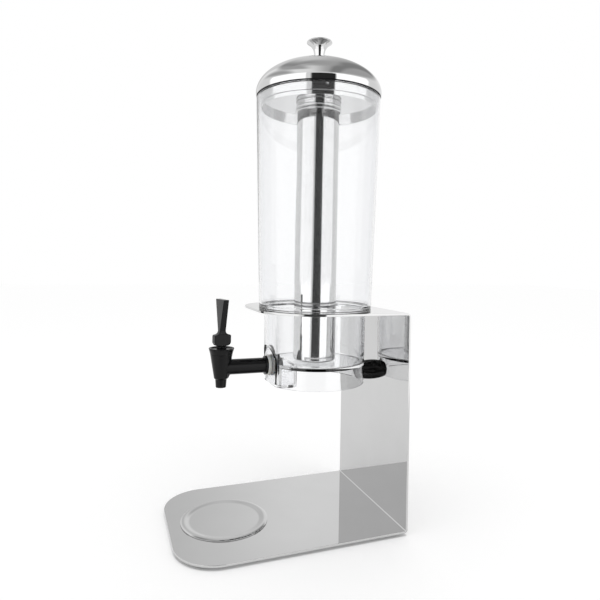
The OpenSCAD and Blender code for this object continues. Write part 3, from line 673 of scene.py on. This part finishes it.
def aroundAxis(piece, count, place, axis, first=0):
    # copies of a piece round the axis through a place, joined into one
    copies = [piece]
    for k in range(1, count):
        activate(piece)
        bpy.ops.object.duplicate()
        copies.append(bpy.context.object)
    for k, made in enumerate(copies):
        turn = Matrix.Rotation(math.radians(first + 360 * k / count), 4, axis)
        spot = Matrix.Translation(Vector(place) * mm)
        made.data.transform(spot @ turn @ spot.inverted())
    start()
    for made in copies:
        made.select_set(True)
    bpy.context.view_layer.objects.active = piece
    bpy.ops.object.join()
    return piece


def dress(piece, finish, body, slot, *nodes, smooth=35):
    activate(piece)
    bpy.ops.object.shade_smooth_by_angle(angle=math.radians(smooth))
    applyChange(piece, "WEIGHTED_NORMAL", weight=100, keep_sharp=True)
    piece.data.materials.clear()
    piece.data.materials.append(finishes[finish])
    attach(piece, body)
    if nodes:
        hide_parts(*nodes)


# Stand: one sheet, bent twice
standSheet = {
    "thick": 2.6,
    "bend": 4,
    "bendSteps": 8,
    "baseCorner": 50,
    "shelfCorner": 70,
    "cornerSteps": 28,
    "shelfReach": 84,
    "hole": 66,
    "screwHole": 2.05,
    "sink": 4.05,
    "sinkDepth": 2.1,
    "edge": 0.4,
    "cut": 10,
    "holeSides": 160,
    "screwSides": 32,
}


def makeStand():
    size = standSheet
    shelfFront = axisY - size["shelfReach"]
    start()
    bpy.ops.mesh.primitive_plane_add(size=1, location=(0, 0, underZ * mm))
    bpy.context.object.scale = (2 * sideX * mm, (rearY - frontY) * mm, 1)
    made = fix(bpy.context.object, "standSheet")
    shape(made)
    pick("edges", lambda spot: at(spot.y, rearY))
    for step in ((0, 0, (shelfZ - underZ) * mm), (0, (shelfFront - rearY) * mm, 0)):
        bpy.ops.mesh.extrude_region_move(TRANSFORM_OT_translate={"value": step})
    pick("edges", lambda spot: at(spot.y, rearY) and at(spot.x, 0))
    bpy.ops.mesh.bevel(offset=size["bend"] * mm, segments=size["bendSteps"], affect="EDGES")
    pick("verts", lambda spot: at(spot.y, frontY))
    bpy.ops.mesh.bevel(offset=size["baseCorner"] * mm, segments=size["cornerSteps"], affect="VERTICES")
    pick("verts", lambda spot: at(spot.y, shelfFront) and spot.z > underZ + 1)
    bpy.ops.mesh.bevel(offset=size["shelfCorner"] * mm, segments=size["cornerSteps"], affect="VERTICES")
    bpy.ops.mesh.select_all(action="SELECT")
    bpy.ops.mesh.normals_make_consistent(inside=False)
    activate(made)
    base = min(made.data.polygons, key=lambda face: face.center.z)
    upwards = 1 if base.normal.z > 0 else -1
    applyChange(made, "SOLIDIFY", thickness=size["thick"] * mm, offset=upwards, use_even_offset=True)
    cut, screw, sink, sides = size["cut"], size["screwHole"], size["sink"], size["screwSides"]
    carve(made, rod("holeCutter", size["hole"], 2 * cut, (0, axisY, shelfZ - cut), sides=size["holeSides"]))
    carve(made, rod("screwCutter", screw, cut, (0, rearY + past / 2, bumperZ), "front", sides))
    carve(made, rod("sinkCutter", sink, size["sinkDepth"], (0, rearY, bumperZ), "front", sides, screw))
    soften(made, size["edge"], 2, 50)
    dress(made, "stand", "stand", "mirror_steel", "stand_frame", smooth=25)


# Rubber feet
footPad = {
    "radius": 9,
    "lowRadius": 8.15,
    "lowCorner": 0.6,
    "corner": 0.3,
    "inset": 20,
    "frontInset": 30,
}


def makeFeet():
    size = footPad
    radius, lowRadius = size["radius"], size["lowRadius"]
    outline = rounded([(0, 0), (lowRadius, 0, size["lowCorner"]), (radius, underZ / 2, size["corner"]),
        (radius, underZ), (0, underZ)], 3)
    nodes = ["foot_pads"]
    for side in (-1, 1):
        for y in (frontY + size["frontInset"], rearY - size["inset"]):
            name = "foot" + ("Right" if side > 0 else "Left") + ("Front" if y < 0 else "Rear")
            pad = turned(name, outline, (side * (sideX - size["inset"]), y, 0), steps=48)
            dress(pad, "feet", "stand", "black_rubber", *nodes)
            nodes = []


# Bumper on the upright, behind the container's foot
bumper = {
    "radius": 12.75,
    "tip": 9.8,
    "tipCorner": 1.6,
    "length": 19.4,
    "curveSteps": 14,
    "flutes": 8,
    "fluteRadius": 2.6,
    "fluteDepth": 2.6,
    "bore": 3.12,
    "boreDepth": 8.02,
    "edge": 0.25,
}


def makeBumper():
    size = bumper
    radius, length = size["radius"], size["length"]
    place = (0, rearY - standSheet["thick"], bumperZ)
    behind = (0, place[1] + past, bumperZ)
    draw = 1 - (size["tip"] / radius) ** 2
    curve = shares(size["curveSteps"])
    side = [(radius * math.sqrt(1 - draw * share ** 2), length * share) for share in curve]
    outline = rounded([(0, 0), *side[:-2], (*side[-1], size["tipCorner"]), (0, length)])
    made = turned("rearBumper", outline, place, "front", 120)
    beside = (radius + size["fluteRadius"] - size["fluteDepth"], *behind[1:])
    flute = rod("fluteCutter", size["fluteRadius"], length + 2 * past, beside, "front", 20)
    carve(made, aroundAxis(flute, size["flutes"], place, "Y"))
    carve(made, rod("boreCutter", size["bore"], size["boreDepth"] + past, behind, "front", 32))
    soften(made, size["edge"], 2, 35)
    dress(made, "rubber", "stand", "black_rubber", "rear_bumper")


# Container: heights over the shelf
vessel = {
    "wall": 3,
    "footRadius": 64,
    "lowerTop": 65,
    "shoulder": 71.8,
    "rim": 79.9,
    "flange": 3.4,
    "groove": 0.8,
    "neckLean": 0.1,
    "floorRise": 26,
    "floorFillet": 2.5,
    "archRadius": 25,
    "archLength": 90,
    "archSides": 96,
    "wellHalf": 28,
    "wellLength": 22.5,
    "wellCorner": 7,
    "rearFlat": 62.7,
    "rearFlatRadius": 15,
    "tapHole": 7.65,
    "edge": 1,
    "steps": 144,
}


def archCutter(y, lowZ):
    # arch with straight sides, in front of the level y
    radius, length = vessel["archRadius"], vessel["archLength"]
    arch = rod("archCutter", radius, length, (0, y, pipeZ), "front", vessel["archSides"])
    legs = block("archLegs", (2 * radius, length, pipeZ - lowZ), (0, y - length / 2, (pipeZ + lowZ) / 2))
    return carve(arch, legs, "UNION")


def wellCutter(grow, lowZ, topZ):
    # the well behind the tap's flat, or with grow the clear space under it
    half = vessel["wellHalf"] + grow
    innerY = flatY + vessel["wall"]
    frontEnd = innerY - (2 * past if grow else 0)
    rearEnd = innerY + vessel["wellLength"] + grow
    place = (0, (rearEnd + frontEnd) / 2, (topZ + lowZ) / 2)
    made = block("wellCutter", (2 * half, rearEnd - frontEnd, topZ - lowZ), place)
    shape(made)
    pick("edges", lambda spot: at(spot.y, rearEnd) and at(abs(spot.x), half))
    bpy.ops.mesh.bevel(offset=(vessel["wellCorner"] + grow) * mm, segments=8, affect="EDGES")
    activate(made)
    return made


def makeContainer():
    size = vessel
    wall, edge, rise = size["wall"], size["edge"], size["floorRise"]
    foot, lowerTop, shoulder, rim = size["footRadius"], size["lowerTop"], size["shoulder"], size["rim"]
    neck, groove = size["flange"], size["groove"]
    height, depth = rimZ - shelfZ, shelfZ - footZ
    top = height + past / 2
    floor = rise - depth
    floorRadius = foot + rise / depth * (lowerTop - foot) - wall
    outer = rounded([(0, -depth), (foot, -depth, edge), (lowerTop, 0), (shoulder, 0, edge),
        (shoulder, neck - groove), (shoulder - groove, neck), (shoulder + size["neckLean"], neck + groove),
        (rim, height, edge), (0, height)])
    inner = rounded([(0, floor), (floorRadius, floor, size["floorFillet"]), (lowerTop - wall, wall, edge),
        (shoulder - wall, wall, edge), (rim - wall, height), (rim - wall, top), (0, top)])
    made = turned("container", outer, (0, axisY, shelfZ), steps=size["steps"])
    cavity = turned("cavityCutter", inner, (0, axisY, shelfZ), steps=size["steps"])
    carve(cavity, archCutter(flatY + wall, footZ - past))
    carve(made, archCutter(flatY, footZ - past))
    carve(made, cavity)
    well = wellCutter(0, footZ + wall, shelfZ + floor + size["floorFillet"])
    limit = rod("wellLimit", floorRadius, 2 * rise, (0, axisY, footZ), sides=96)
    carve(made, carve(well, limit, "INTERSECT"))
    recess = rod("recessCutter", foot - wall, rise - wall + past, (0, axisY, footZ - past), sides=96)
    carve(made, carve(recess, wellCutter(wall, footZ - 2 * past, shelfZ + floor)))
    flatPlace = (0, axisY + size["rearFlat"], bumperZ)
    carve(made, rod("flatCutter", size["rearFlatRadius"], wall, flatPlace, "back"))
    carve(made, rod("tapHoleCutter", size["tapHole"], wall + 2 * past, (0, flatY - past, pipeZ), "back"))
    nodes = ("container_wall", "container_base", "container_floor")
    dress(made, "clear", "stand", "clear_plastic", *nodes, smooth=28)


# Tap: heights over the pipe's axis
tap = {
    "spout": -23.9,
    "spoutTop": -14.2,
    "mouth": 6.2,
    "throat": 6.95,
    "foot": -12.7,
    "footRadius": 8.5,
    "shoulder": 16.3,
    "shoulderRadius": 13.5,
    "neck": 12.2,
    "neckTop": 20.3,
    "pipe": 9.25,
    "collar": 11.5,
    "collarThick": 3,
    "shank": 7.6,
    "shankEnd": 16,
    "passage": 4.6,
    "passageLength": 80,
    "seat": -9.7,
    "chamber": 9.8,
    "chamberLow": 6.6,
    "chamberRise": 5.8,
    "chamberStep": 0.8,
    "corner": 0.5,
    "footCorner": 0.6,
    "collarCorner": 0.3,
    "threadPitch": 1.5,
    "threadDepth": 0.6,
    "plainShank": 8,
    "webThick": 6,
    "webLength": 15,
    "webHeight": 13,
    "webTaper": 7,
    "washer": 4,
    "edge": 0.25,
}


def makeShank(collarY):
    # the collar against the washer, and the threaded shank through the wall
    size = tap
    thick, radius, deep = size["collarThick"], size["shank"], size["threadDepth"]
    wide, lowCorner, topCorner = size["collar"], size["footCorner"], size["collarCorner"]
    outline = rounded([(0, 0), (wide, 0, lowCorner), (wide, thick, topCorner), (0, thick)], 3)
    collar = turned("collarAdd", outline, (0, collarY, pipeZ), "back", 64)
    length = size["shankEnd"] + thick + size["washer"]
    pitch = size["threadPitch"]
    turns = int((length - size["plainShank"]) / pitch)
    low = length - turns * pitch
    thread = [(radius - (deep if k % 2 else 0), low + k * pitch / 2) for k in range(2 * turns)]
    outline = [(0, lap), (radius, lap), *thread, (radius - deep, length), (0, length)]
    return collar, turned("shankAdd", outline, (0, collarY, pipeZ), "back", 48)


def makeWeb():
    # the web in the corner between spout and pipe
    long, high = tap["webLength"], tap["webHeight"]
    web = block("webAdd", (tap["webThick"], long, high), (0, tapY + long / 2, pipeZ - high / 2))
    shape(web)
    pick("verts", lambda spot: spot.z < pipeZ - high / 2 and spot.y > tapY + long / 2)
    bpy.ops.transform.translate(value=(0, -tap["webTaper"] * mm, 0))
    return web


def makeTapBody():
    size = tap
    corner, spout, seat = size["corner"], size["spout"], size["seat"]
    shoulder, neck, top = size["shoulder"], size["neck"], size["neckTop"]
    collarY = flatY - size["washer"] - size["collarThick"]
    outer = rounded([(0, spout), (size["mouth"], spout, corner), (size["throat"], size["spoutTop"]),
        (size["footRadius"], size["foot"], size["footCorner"]), (size["shoulderRadius"], shoulder, corner),
        (neck, shoulder), (neck, top), (0, top)], 4)
    made = turned("tapBody", outer, (0, tapY, pipeZ), steps=80)
    carve(made, rod("pipeAdd", size["pipe"], collarY - tapY + lap, (0, tapY, pipeZ), "back"), "UNION")
    for extra in makeShank(collarY):
        carve(made, extra, "UNION")
    carve(made, makeWeb(), "UNION")
    passage, chamber, rise = size["passage"], size["chamber"], size["chamberRise"]
    low, high = spout - past / 2, top + past / 2
    inside = [(0, low), (passage, low), (passage, seat), (size["chamberLow"], seat),
        (chamber - size["chamberStep"], rise), (chamber, rise), (chamber, high), (0, high)]
    carve(made, turned("chamberCutter", inside, (0, tapY, pipeZ), steps=64))
    carve(made, rod("passageCutter", passage, size["passageLength"], (0, tapY, pipeZ), "back", 48))
    soften(made, size["edge"], 2, 40)
    dress(made, "black", "stand", "black_plastic", "tap_body", smooth=30)


# Bonnet: heights over the tap's shoulder
bonnet = {
    "gap": 0.02,
    "low": 13.5,
    "rim": 15.45,
    "height": 7.2,
    "rimWidth": 1.2,
    "rimCorner": 0.4,
    "crown": 1.8,
    "boss": 6,
    "bossHeight": 3.8,
    "corner": 0.5,
    "bore": 2.15,
    "inside": 12.22,
    "insideTop": 4,
    "notches": 24,
    "notch": 0.9,
    "notchSides": 10,
}


def makeBonnet():
    size = bonnet
    rim, height, corner, rimCorner = size["rim"], size["height"], size["corner"], size["rimCorner"]
    inside, insideTop, boss, bore = size["inside"], size["insideTop"], size["boss"], size["bore"]
    dish = insideTop + size["crown"]
    top = dish + size["bossHeight"]
    lip = rim - size["rimWidth"]
    lowZ = pipeZ + tap["shoulder"] + size["gap"]
    outline = rounded([(inside, 0), (size["low"], 0), (rim, height, rimCorner), (lip, height, rimCorner),
        (lip - size["crown"], dish, corner), (boss, dish, corner), (boss, top, corner), (bore, top),
        (bore, insideTop), (inside, insideTop)], 4)
    made = turned("tapBonnet", closed(outline), (0, tapY, lowZ), steps=96)
    place = (rim, tapY, lowZ - past / 2)
    notch = rod("notchCutter", size["notch"], height + past, place, sides=size["notchSides"])
    carve(made, aroundAxis(notch, size["notches"], (0, tapY, lowZ), "Z"))
    dress(made, "black", "stand", "black_plastic", "tap_bonnet", smooth=30)


# Washers and lock nut on the tap's shank
shankFit = {
    "bore": 7.62,
    "outer": 12.7,
    "outerThick": 4,
    "inner": 12.5,
    "innerThick": 2,
    "corner": 0.8,
    "boreCorner": 0.3,
    "nut": 13,
    "nutThick": 8,
    "nutEdge": 0.7,
    "flange": 13.6,
    "flangeThick": 2,
    "flangeCorner": 0.6,
}


def makeWashers():
    size = shankFit
    bore, corner, boreCorner = size["bore"], size["corner"], size["boreCorner"]
    outerThick, innerThick = size["outerThick"], size["innerThick"]
    parts = [("washerOuter", size["outer"], outerThick, flatY - outerThick, "tap_washer_outer"),
        ("washerInner", size["inner"], innerThick, flatY + vessel["wall"], "tap_washer_inner")]
    for name, radius, thick, y, node in parts:
        outline = rounded([(bore, 0, boreCorner), (radius, 0, corner), (radius, thick, corner),
            (bore, thick, boreCorner)])
        made = turned(name, closed(outline), (0, y, pipeZ), "back", 72)
        dress(made, "silicone", "stand", "pale_silicone", node)


def makeLockNut():
    size = shankFit
    y = flatY + vessel["wall"] + size["innerThick"]
    thick, flange, flangeThick = size["nutThick"], size["flange"], size["flangeThick"]
    start()
    bpy.ops.mesh.primitive_cylinder_add(vertices=6, radius=size["nut"] * mm, depth=thick * mm,
        location=(0, (y + thick / 2) * mm, pipeZ * mm), rotation=wayTo["back"])
    made = fix(bpy.context.object, "lockNut")
    soften(made, size["nutEdge"], 3, 30)
    outline = rounded([(0, 0), (flange, 0, size["boreCorner"]), (flange, flangeThick, size["flangeCorner"]),
        (0, flangeThick)], 4)
    carve(made, turned("flangeAdd", outline, (0, y, pipeZ), "back", 72), "UNION")
    carve(made, rod("nutBore", size["bore"], thick + 2 * past, (0, y - past, pipeZ), "back", 64))
    dress(made, "nut", "stand", "grey_plastic", "tap_lock_nut", smooth=30)


# Coil spring over the seat cup
coil = {
    "radius": 6,
    "wire": 0.5,
    "turns": 5,
    "sides": 12,
    "stepsPerTurn": 36,
    "lift": 3.5,
}


def makeSpring():
    size = coil
    wire, turns, sides, lift = size["wire"], size["turns"], size["sides"], size["lift"]
    low, high = reach("tap_spring", 2)
    rise = high - low - 2 * wire
    count = turns * size["stepsPerTurn"]
    start()
    bpy.ops.mesh.primitive_circle_add(vertices=sides, radius=wire * mm, fill_type="NGON",
        location=(size["radius"] * mm, 0, 0), rotation=wayTo["front"])
    made = fix(bpy.context.object, "tapSpring")
    shape(made)
    bpy.ops.mesh.select_all(action="SELECT")
    bpy.ops.mesh.spin(steps=count, angle=math.tau * turns, center=(0, 0, 0), axis=(0, 0, 1),
        use_auto_merge=False)
    activate(made)
    for i, point in enumerate(made.data.vertices):
        point.co.z += rise * mm * min(i // sides, count) / count
    made.location = (0, tapY * mm, (low + wire) * mm)
    fix(made)
    dress(made, "fastener", "stand", "fastener_steel", "tap_spring", smooth=60)
    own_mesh(made)


# Lever: cam block and flared handle, about its hinge pin
lever = {
    "yaw": 11,
    "length": 21.2,
    "width": 8.6,
    "height": 13.5,
    "pinHeight": 7.2,
    "camRadius": 5,
    "camSteps": 12,
    "topRadius": 2,
    "topSteps": 5,
    "fillet": 4.7,
    "filletSteps": 5,
    "neckThick": 7.8,
    "neckWidth": 7,
    "tipThick": 6.8,
    "tipWidth": 26,
    "handle": 42.5,
    "slot": 4.6,
    "slotNear": 2.95,
    "slotFar": 10.6,
    "slotDepth": 9,
    "eye": 3.8,
    "bore": 1.55,
    "edge": 0.7,
}


def leverRings(top):
    # width, thickness and height of the handle, from its fillet to its flared end
    size = lever
    rings = []
    for share in shares(size["filletSteps"]):
        turn = quarter * share
        width = size["width"] - (size["width"] - size["neckWidth"]) * share
        thick = size["neckThick"] + 2 * size["fillet"] * (1 - math.sin(turn))
        rings.append((width, thick, top + size["fillet"] * (1 - math.cos(turn))))
    return [*rings, (size["tipWidth"], size["tipThick"], top + size["handle"])]


def makeLever():
    size = lever
    width, length, height = size["width"], size["length"], size["height"]
    top = height - size["pinHeight"]
    made = block("tapLever", (width, length, height), (0, 0, top - height / 2))
    shape(made)
    pick("edges", lambda spot: at(spot.x, 0) and at(abs(spot.y), length / 2) and spot.z < 0)
    bpy.ops.mesh.bevel(offset=size["camRadius"] * mm, segments=size["camSteps"], affect="EDGES")
    pick("edges", lambda spot: at(spot.x, 0) and at(abs(spot.y), length / 2) and at(spot.z, top))
    bpy.ops.mesh.bevel(offset=size["topRadius"] * mm, segments=size["topSteps"], affect="EDGES")
    pick("faces", lambda spot: at(spot.y, 0) and at(spot.z, top))
    thick, z = length - 2 * size["topRadius"], top
    for ringWidth, ringThick, ringZ in leverRings(top):
        bpy.ops.mesh.extrude_region_move(TRANSFORM_OT_translate={"value": (0, 0, (ringZ - z) * mm)})
        growth = (ringWidth / width, ringThick / thick, 1)
        bpy.ops.transform.resize(value=growth, center_override=(0, 0, ringZ * mm))
        width, thick, z = ringWidth, ringThick, ringZ
    bpy.ops.mesh.select_all(action="SELECT")
    bpy.ops.mesh.remove_doubles(threshold=mm / 200)
    activate(made)
    soften(made, size["edge"], 3, 40)
    slot, near, deep = size["slot"], size["slotNear"], size["slotDepth"]
    cutter = block("slotCutter", (slot, 2 * near, deep), (0, 0, -deep / 2))
    shape(cutter)
    pick("verts", lambda spot: spot.y < 0 and at(spot.z, -deep))
    bpy.ops.transform.translate(value=(0, (near - size["slotFar"]) * mm, 0))
    carve(made, cutter)
    carve(made, rod("eyeCutter", size["eye"], slot, (-slot / 2, 0, 0), "right", 40))
    carve(made, rod("pinCutter", size["bore"], 2 * size["width"], (-size["width"], 0, 0), "right", 32))
    made.rotation_euler = (0, 0, math.radians(size["yaw"]))
    made.location = (0, tapY * mm, pinZ * mm)
    fix(made)
    dress(made, "black", "lever", "black_plastic", "tap_lever", smooth=30)


# Lid: heights over the container's rim
lid = {
    "seal": 1.4,
    "sealInner": 76.6,
    "sealCorner": 0.5,
    "sealTopCorner": 0.7,
    "dome": 80.9,
    "domeLow": 80.25,
    "domeSide": 4.6,
    "domeRise": 42.5,
    "sheet": 0.8,
    "skirt": 76.3,
    "skirtDrop": 10.3,
    "skirtCorner": 0.9,
    "lip": 74.3,
    "lipDrop": 15,
    "lipCorner": 0.4,
    "disc": -7.6,
    "panCorner": 0.3,
    "flange": 79.43,
    "dimple": 1.6,
    "dimpleOut": 0.4,
    "dimpleRoot": 0.5,
    "dimpleCurve": [(1, 0), (0.9, 0.5), (0.55, 0.875)],
    "dimpleDrop": 3,
    "dimpleAngle": 14.5,
    "screwHole": 2.52,
    "curveSteps": 32,
    "steps": 160,
}


def makeSeal():
    size = lid
    inner, outer, height = size["sealInner"], vessel["rim"], size["seal"]
    corner, topCorner = size["sealCorner"], size["sealTopCorner"]
    outline = rounded([(inner, 0, corner), (outer, 0, corner), (outer, height, topCorner),
        (inner, height, topCorner)], 4)
    made = turned("lidSeal", closed(outline), (0, axisY, rimZ), steps=size["steps"])
    dress(made, "seal", "lid", "seal_rubber", "lid_seal")


def makeDome():
    size = lid
    radius, rise, hole, sheet = size["dome"], size["domeRise"], size["screwHole"], size["sheet"]
    wide = size["seal"] + size["domeSide"]
    turns = [quarter * share for share in shares(size["curveSteps"])[:-1]]
    outside = [(radius * math.cos(turn), wide + rise * math.sin(turn)) for turn in turns]
    outside.append((hole, wide + rise))
    inside = [(max(hole, r - sheet * r / radius), z - sheet * (z - wide) / rise) for r, z in outside]
    hem = [(size["domeLow"] - sheet, size["seal"]), (size["domeLow"], size["seal"])]
    outline = closed([*hem, *outside, *reversed(inside)])
    made = turned("lidDome", outline, (0, axisY, rimZ), steps=size["steps"])
    dress(made, "lid", "lid", "lid_steel", "lid_dome", smooth=20)


def dimpleAt(angle):
    # one round bead on the skirt, pointing outwards
    size = lid
    radius, out, root = size["dimple"], size["dimpleOut"], size["dimpleRoot"]
    curve = [(radius * across, out * high) for across, high in size["dimpleCurve"]]
    bead = turned("dimpleAdd", [(0, -root), (radius, -root), *curve, (0, out)], (0, 0, 0), steps=20)
    turn = math.radians(angle)
    bead.rotation_euler = (0, quarter, turn)
    x, y = size["skirt"] * math.cos(turn), axisY + size["skirt"] * math.sin(turn)
    bead.location = Vector((x, y, rimZ - size["dimpleDrop"])) * mm
    return fix(bead)


def makePan():
    size = lid
    skirt, lip, flange, sheet = size["skirt"], size["lip"], size["flange"], size["sheet"]
    disc, low, foot, seal = size["disc"], -size["skirtDrop"], -size["lipDrop"], size["seal"]
    corner, inner = size["panCorner"], skirt - sheet
    outline = rounded([(0, disc), (lip - sheet, disc, corner), (lip - sheet, foot, corner),
        (lip, foot, corner), (lip, low, size["lipCorner"]), (skirt, low, size["skirtCorner"]),
        (skirt, seal), (flange, seal), (flange, seal + sheet), (inner, seal + sheet), (inner, low + sheet),
        (lip, low + sheet), (lip, disc + sheet), (0, disc + sheet)])
    made = turned("lidPan", outline, (0, axisY, rimZ), steps=size["steps"])
    for side in (0, 180):
        for across in (-size["dimpleAngle"], size["dimpleAngle"]):
            carve(made, dimpleAt(side + across), "UNION")
    dress(made, "lid", "lid", "lid_steel", "lid_pan", smooth=25)


# Knob: its outline in shares of its radius and height, from its foot up
knob = {
    "radius": 16.5,
    "height": 28.8,
    "bore": 2.52,
    "boreDepth": 16,
    "outline": [(0.394, 0), (0.395, 0.2), (0.408, 0.36), (0.448, 0.5), (0.51, 0.6), (0.616, 0.7),
        (0.744, 0.78), (0.872, 0.84), (0.96, 0.873), (1, 0.9), (0.94, 0.938), (0.707, 0.975),
        (0.342, 0.994), (0, 1)],
    "steps": 6,
}


def throughAll(points, steps):
    # a smooth curve through all of the points
    curve = []
    for i in range(len(points) - 1):
        nearby = (max(i - 1, 0), i, i + 1, min(i + 2, len(points) - 1))
        a, b, c, d = (Vector(points[k]) for k in nearby)
        for t in shares(steps)[:-1]:
            bow = (2 * a - 5 * b + 4 * c - d) * t * t + (3 * b - a - 3 * c + d) * t ** 3
            curve.append((2 * b + (c - a) * t + bow) / 2)
    return [*curve, Vector(points[-1])]


def makeKnob():
    size = knob
    radius, height, bore, deep = size["radius"], size["height"], size["bore"], size["boreDepth"]
    curve = throughAll(size["outline"], size["steps"])
    side = [(max(0, spot.x) * radius, min(1, spot.y) * height) for spot in curve]
    footZ = rimZ + lid["seal"] + lid["domeSide"] + lid["domeRise"]
    made = turned("lidKnob", [(0, deep), (bore, deep), (bore, 0), *side], (0, axisY, footZ), steps=96)
    dress(made, "lid", "lid", "lid_steel", "lid_knob", smooth=25)


# Ice tube and the collar that holds it
iceTube = {
    "radius": 27,
    "wall": 0.8,
    "foot": 3,
    "rimCorner": 0.3,
    "collarHeight": 9.9,
    "collarWall": 1.9,
    "collarCorner": 0.2,
    "bead": 2.4,
    "beadOut": 0.6,
    "beadCorner": 0.5,
    "play": 0.3,
    "lugs": 3,
    "lugWidth": 10,
    "lugHeight": 2.6,
    "lugOut": 0.9,
    "lugSunk": 0.15,
    "lugEdge": 0.3,
    "slotInner": 20,
    "twist": 60,
}


def beadOutline(radius, low):
    high, corner = iceTube["bead"], iceTube["beadCorner"]
    outer = radius + iceTube["beadOut"]
    return [(radius, low), (outer, low + high / 3, corner), (outer, low + 2 * high / 3, corner),
        (radius, low + high)]


def makeCollar():
    size = iceTube
    radius, play = size["radius"], size["play"]
    inner, outer, groove = radius + play, radius + size["collarWall"], radius + size["lugOut"] + play
    discZ = rimZ + lid["disc"]
    low = -size["collarHeight"]
    grooveLow = low + size["bead"]
    grooveHigh = grooveLow + size["lugHeight"] + 2 * play
    beads = [*beadOutline(outer, low), *beadOutline(outer, low + 2 * size["bead"])]
    outline = rounded([(inner, low, size["collarCorner"]), *beads, (outer, 0), (inner, 0),
        (inner, grooveHigh), (groove, grooveHigh), (groove, grooveLow), (inner, grooveLow)], 3)
    made = turned("tubeCollar", closed(outline), (0, axisY, discZ), steps=120)
    near, far = size["slotInner"], groove - play / 2
    bottom, top = low - 1, grooveHigh - 2
    place = ((near + far) / 2, axisY, discZ + (bottom + top) / 2)
    cutter = block("slotCutter", (far - near, size["lugWidth"] + 2 * play, top - bottom), place)
    carve(made, aroundAxis(cutter, size["lugs"], (0, axisY, discZ), "Z", size["twist"]))
    dress(made, "lid", "lid", "lid_steel", "tube_collar", smooth=30)


def makeTube():
    size = iceTube
    low, high = reach("ice_tube", 2)
    radius, wall, foot, corner = size["radius"], size["wall"], size["foot"], size["rimCorner"]
    outline = rounded([(0, low), (radius, low, foot), (radius, high, corner), (radius - wall, high, corner),
        (radius - wall, low + wall, foot - wall), (0, low + wall)], 8)
    made = turned("iceTube", outline, (0, axisY, 0), steps=128)
    out, height = size["lugOut"], size["lugHeight"]
    lugX = radius + out / 2 - wall / 4 - size["lugSunk"]
    lugZ = rimZ + lid["disc"] - size["collarHeight"] + size["bead"] + size["play"] + height / 2
    lug = block("lugAdd", (wall / 2 + out, size["lugWidth"], height), (lugX, axisY, lugZ))
    soften(lug, size["lugEdge"], 2, 40)
    carve(made, aroundAxis(lug, size["lugs"], (0, axisY, 0), "Z"), "UNION")
    dress(made, "tube", "tube", "tube_steel", "ice_tube", smooth=30)


# Drip tray: a loose dish
tray = {
    "radius": 52,
    "floor": 41,
    "crest": 48.4,
    "rise": 1.3,
    "drop": 1.05,
    "sheet": 0.8,
    "climbSteps": 16,
    "fallSteps": 6,
}


def makeTray():
    size = tray
    floor, crest, rise, drop = size["floor"], size["crest"], size["rise"], size["drop"]
    climb = [(floor + (crest - floor) * share, rise * math.sin(quarter * share) ** 2)
        for share in shares(size["climbSteps"])]
    fall = [(crest + (size["radius"] - crest) * share, rise - drop * share ** 2)
        for share in shares(size["fallSteps"], 1)]
    under = [(0, 0), *climb, *fall]
    over = [(r, z + size["sheet"]) for r, z in reversed(under)]
    made = turned("dripTray", [*under, *over], (0, trayY, trayZ), steps=144)
    dress(made, "tray", "tray", "tube_steel", "drip_tray", smooth=30)


makers = [makeStand, makeFeet, makeBumper, makeContainer, makeTapBody, makeBonnet, makeWashers, makeLockNut,
    makeSpring, makeLever, makeSeal, makeDome, makePan, makeKnob, makeCollar, makeTube, makeTray]
for make in makers:
    make()
    print(make.__name__, "done")

# Small parts inside keep their solids
keptFinishes = {
    "bumper_insert": "brass",
    "bumper_screw": "fastener",
    "seat_cup": "white",
    "tap_stem": "white",
    "lever_pin": "black",
    "knob_screw": "fastener",
    "knob_washer": "fastener",
    "tube_seal": "silicone",
}
for node, finish in keptFinishes.items():
    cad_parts[node].data.materials.clear()
    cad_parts[node].data.materials.append(finishes[finish])
print("Inner parts finished")
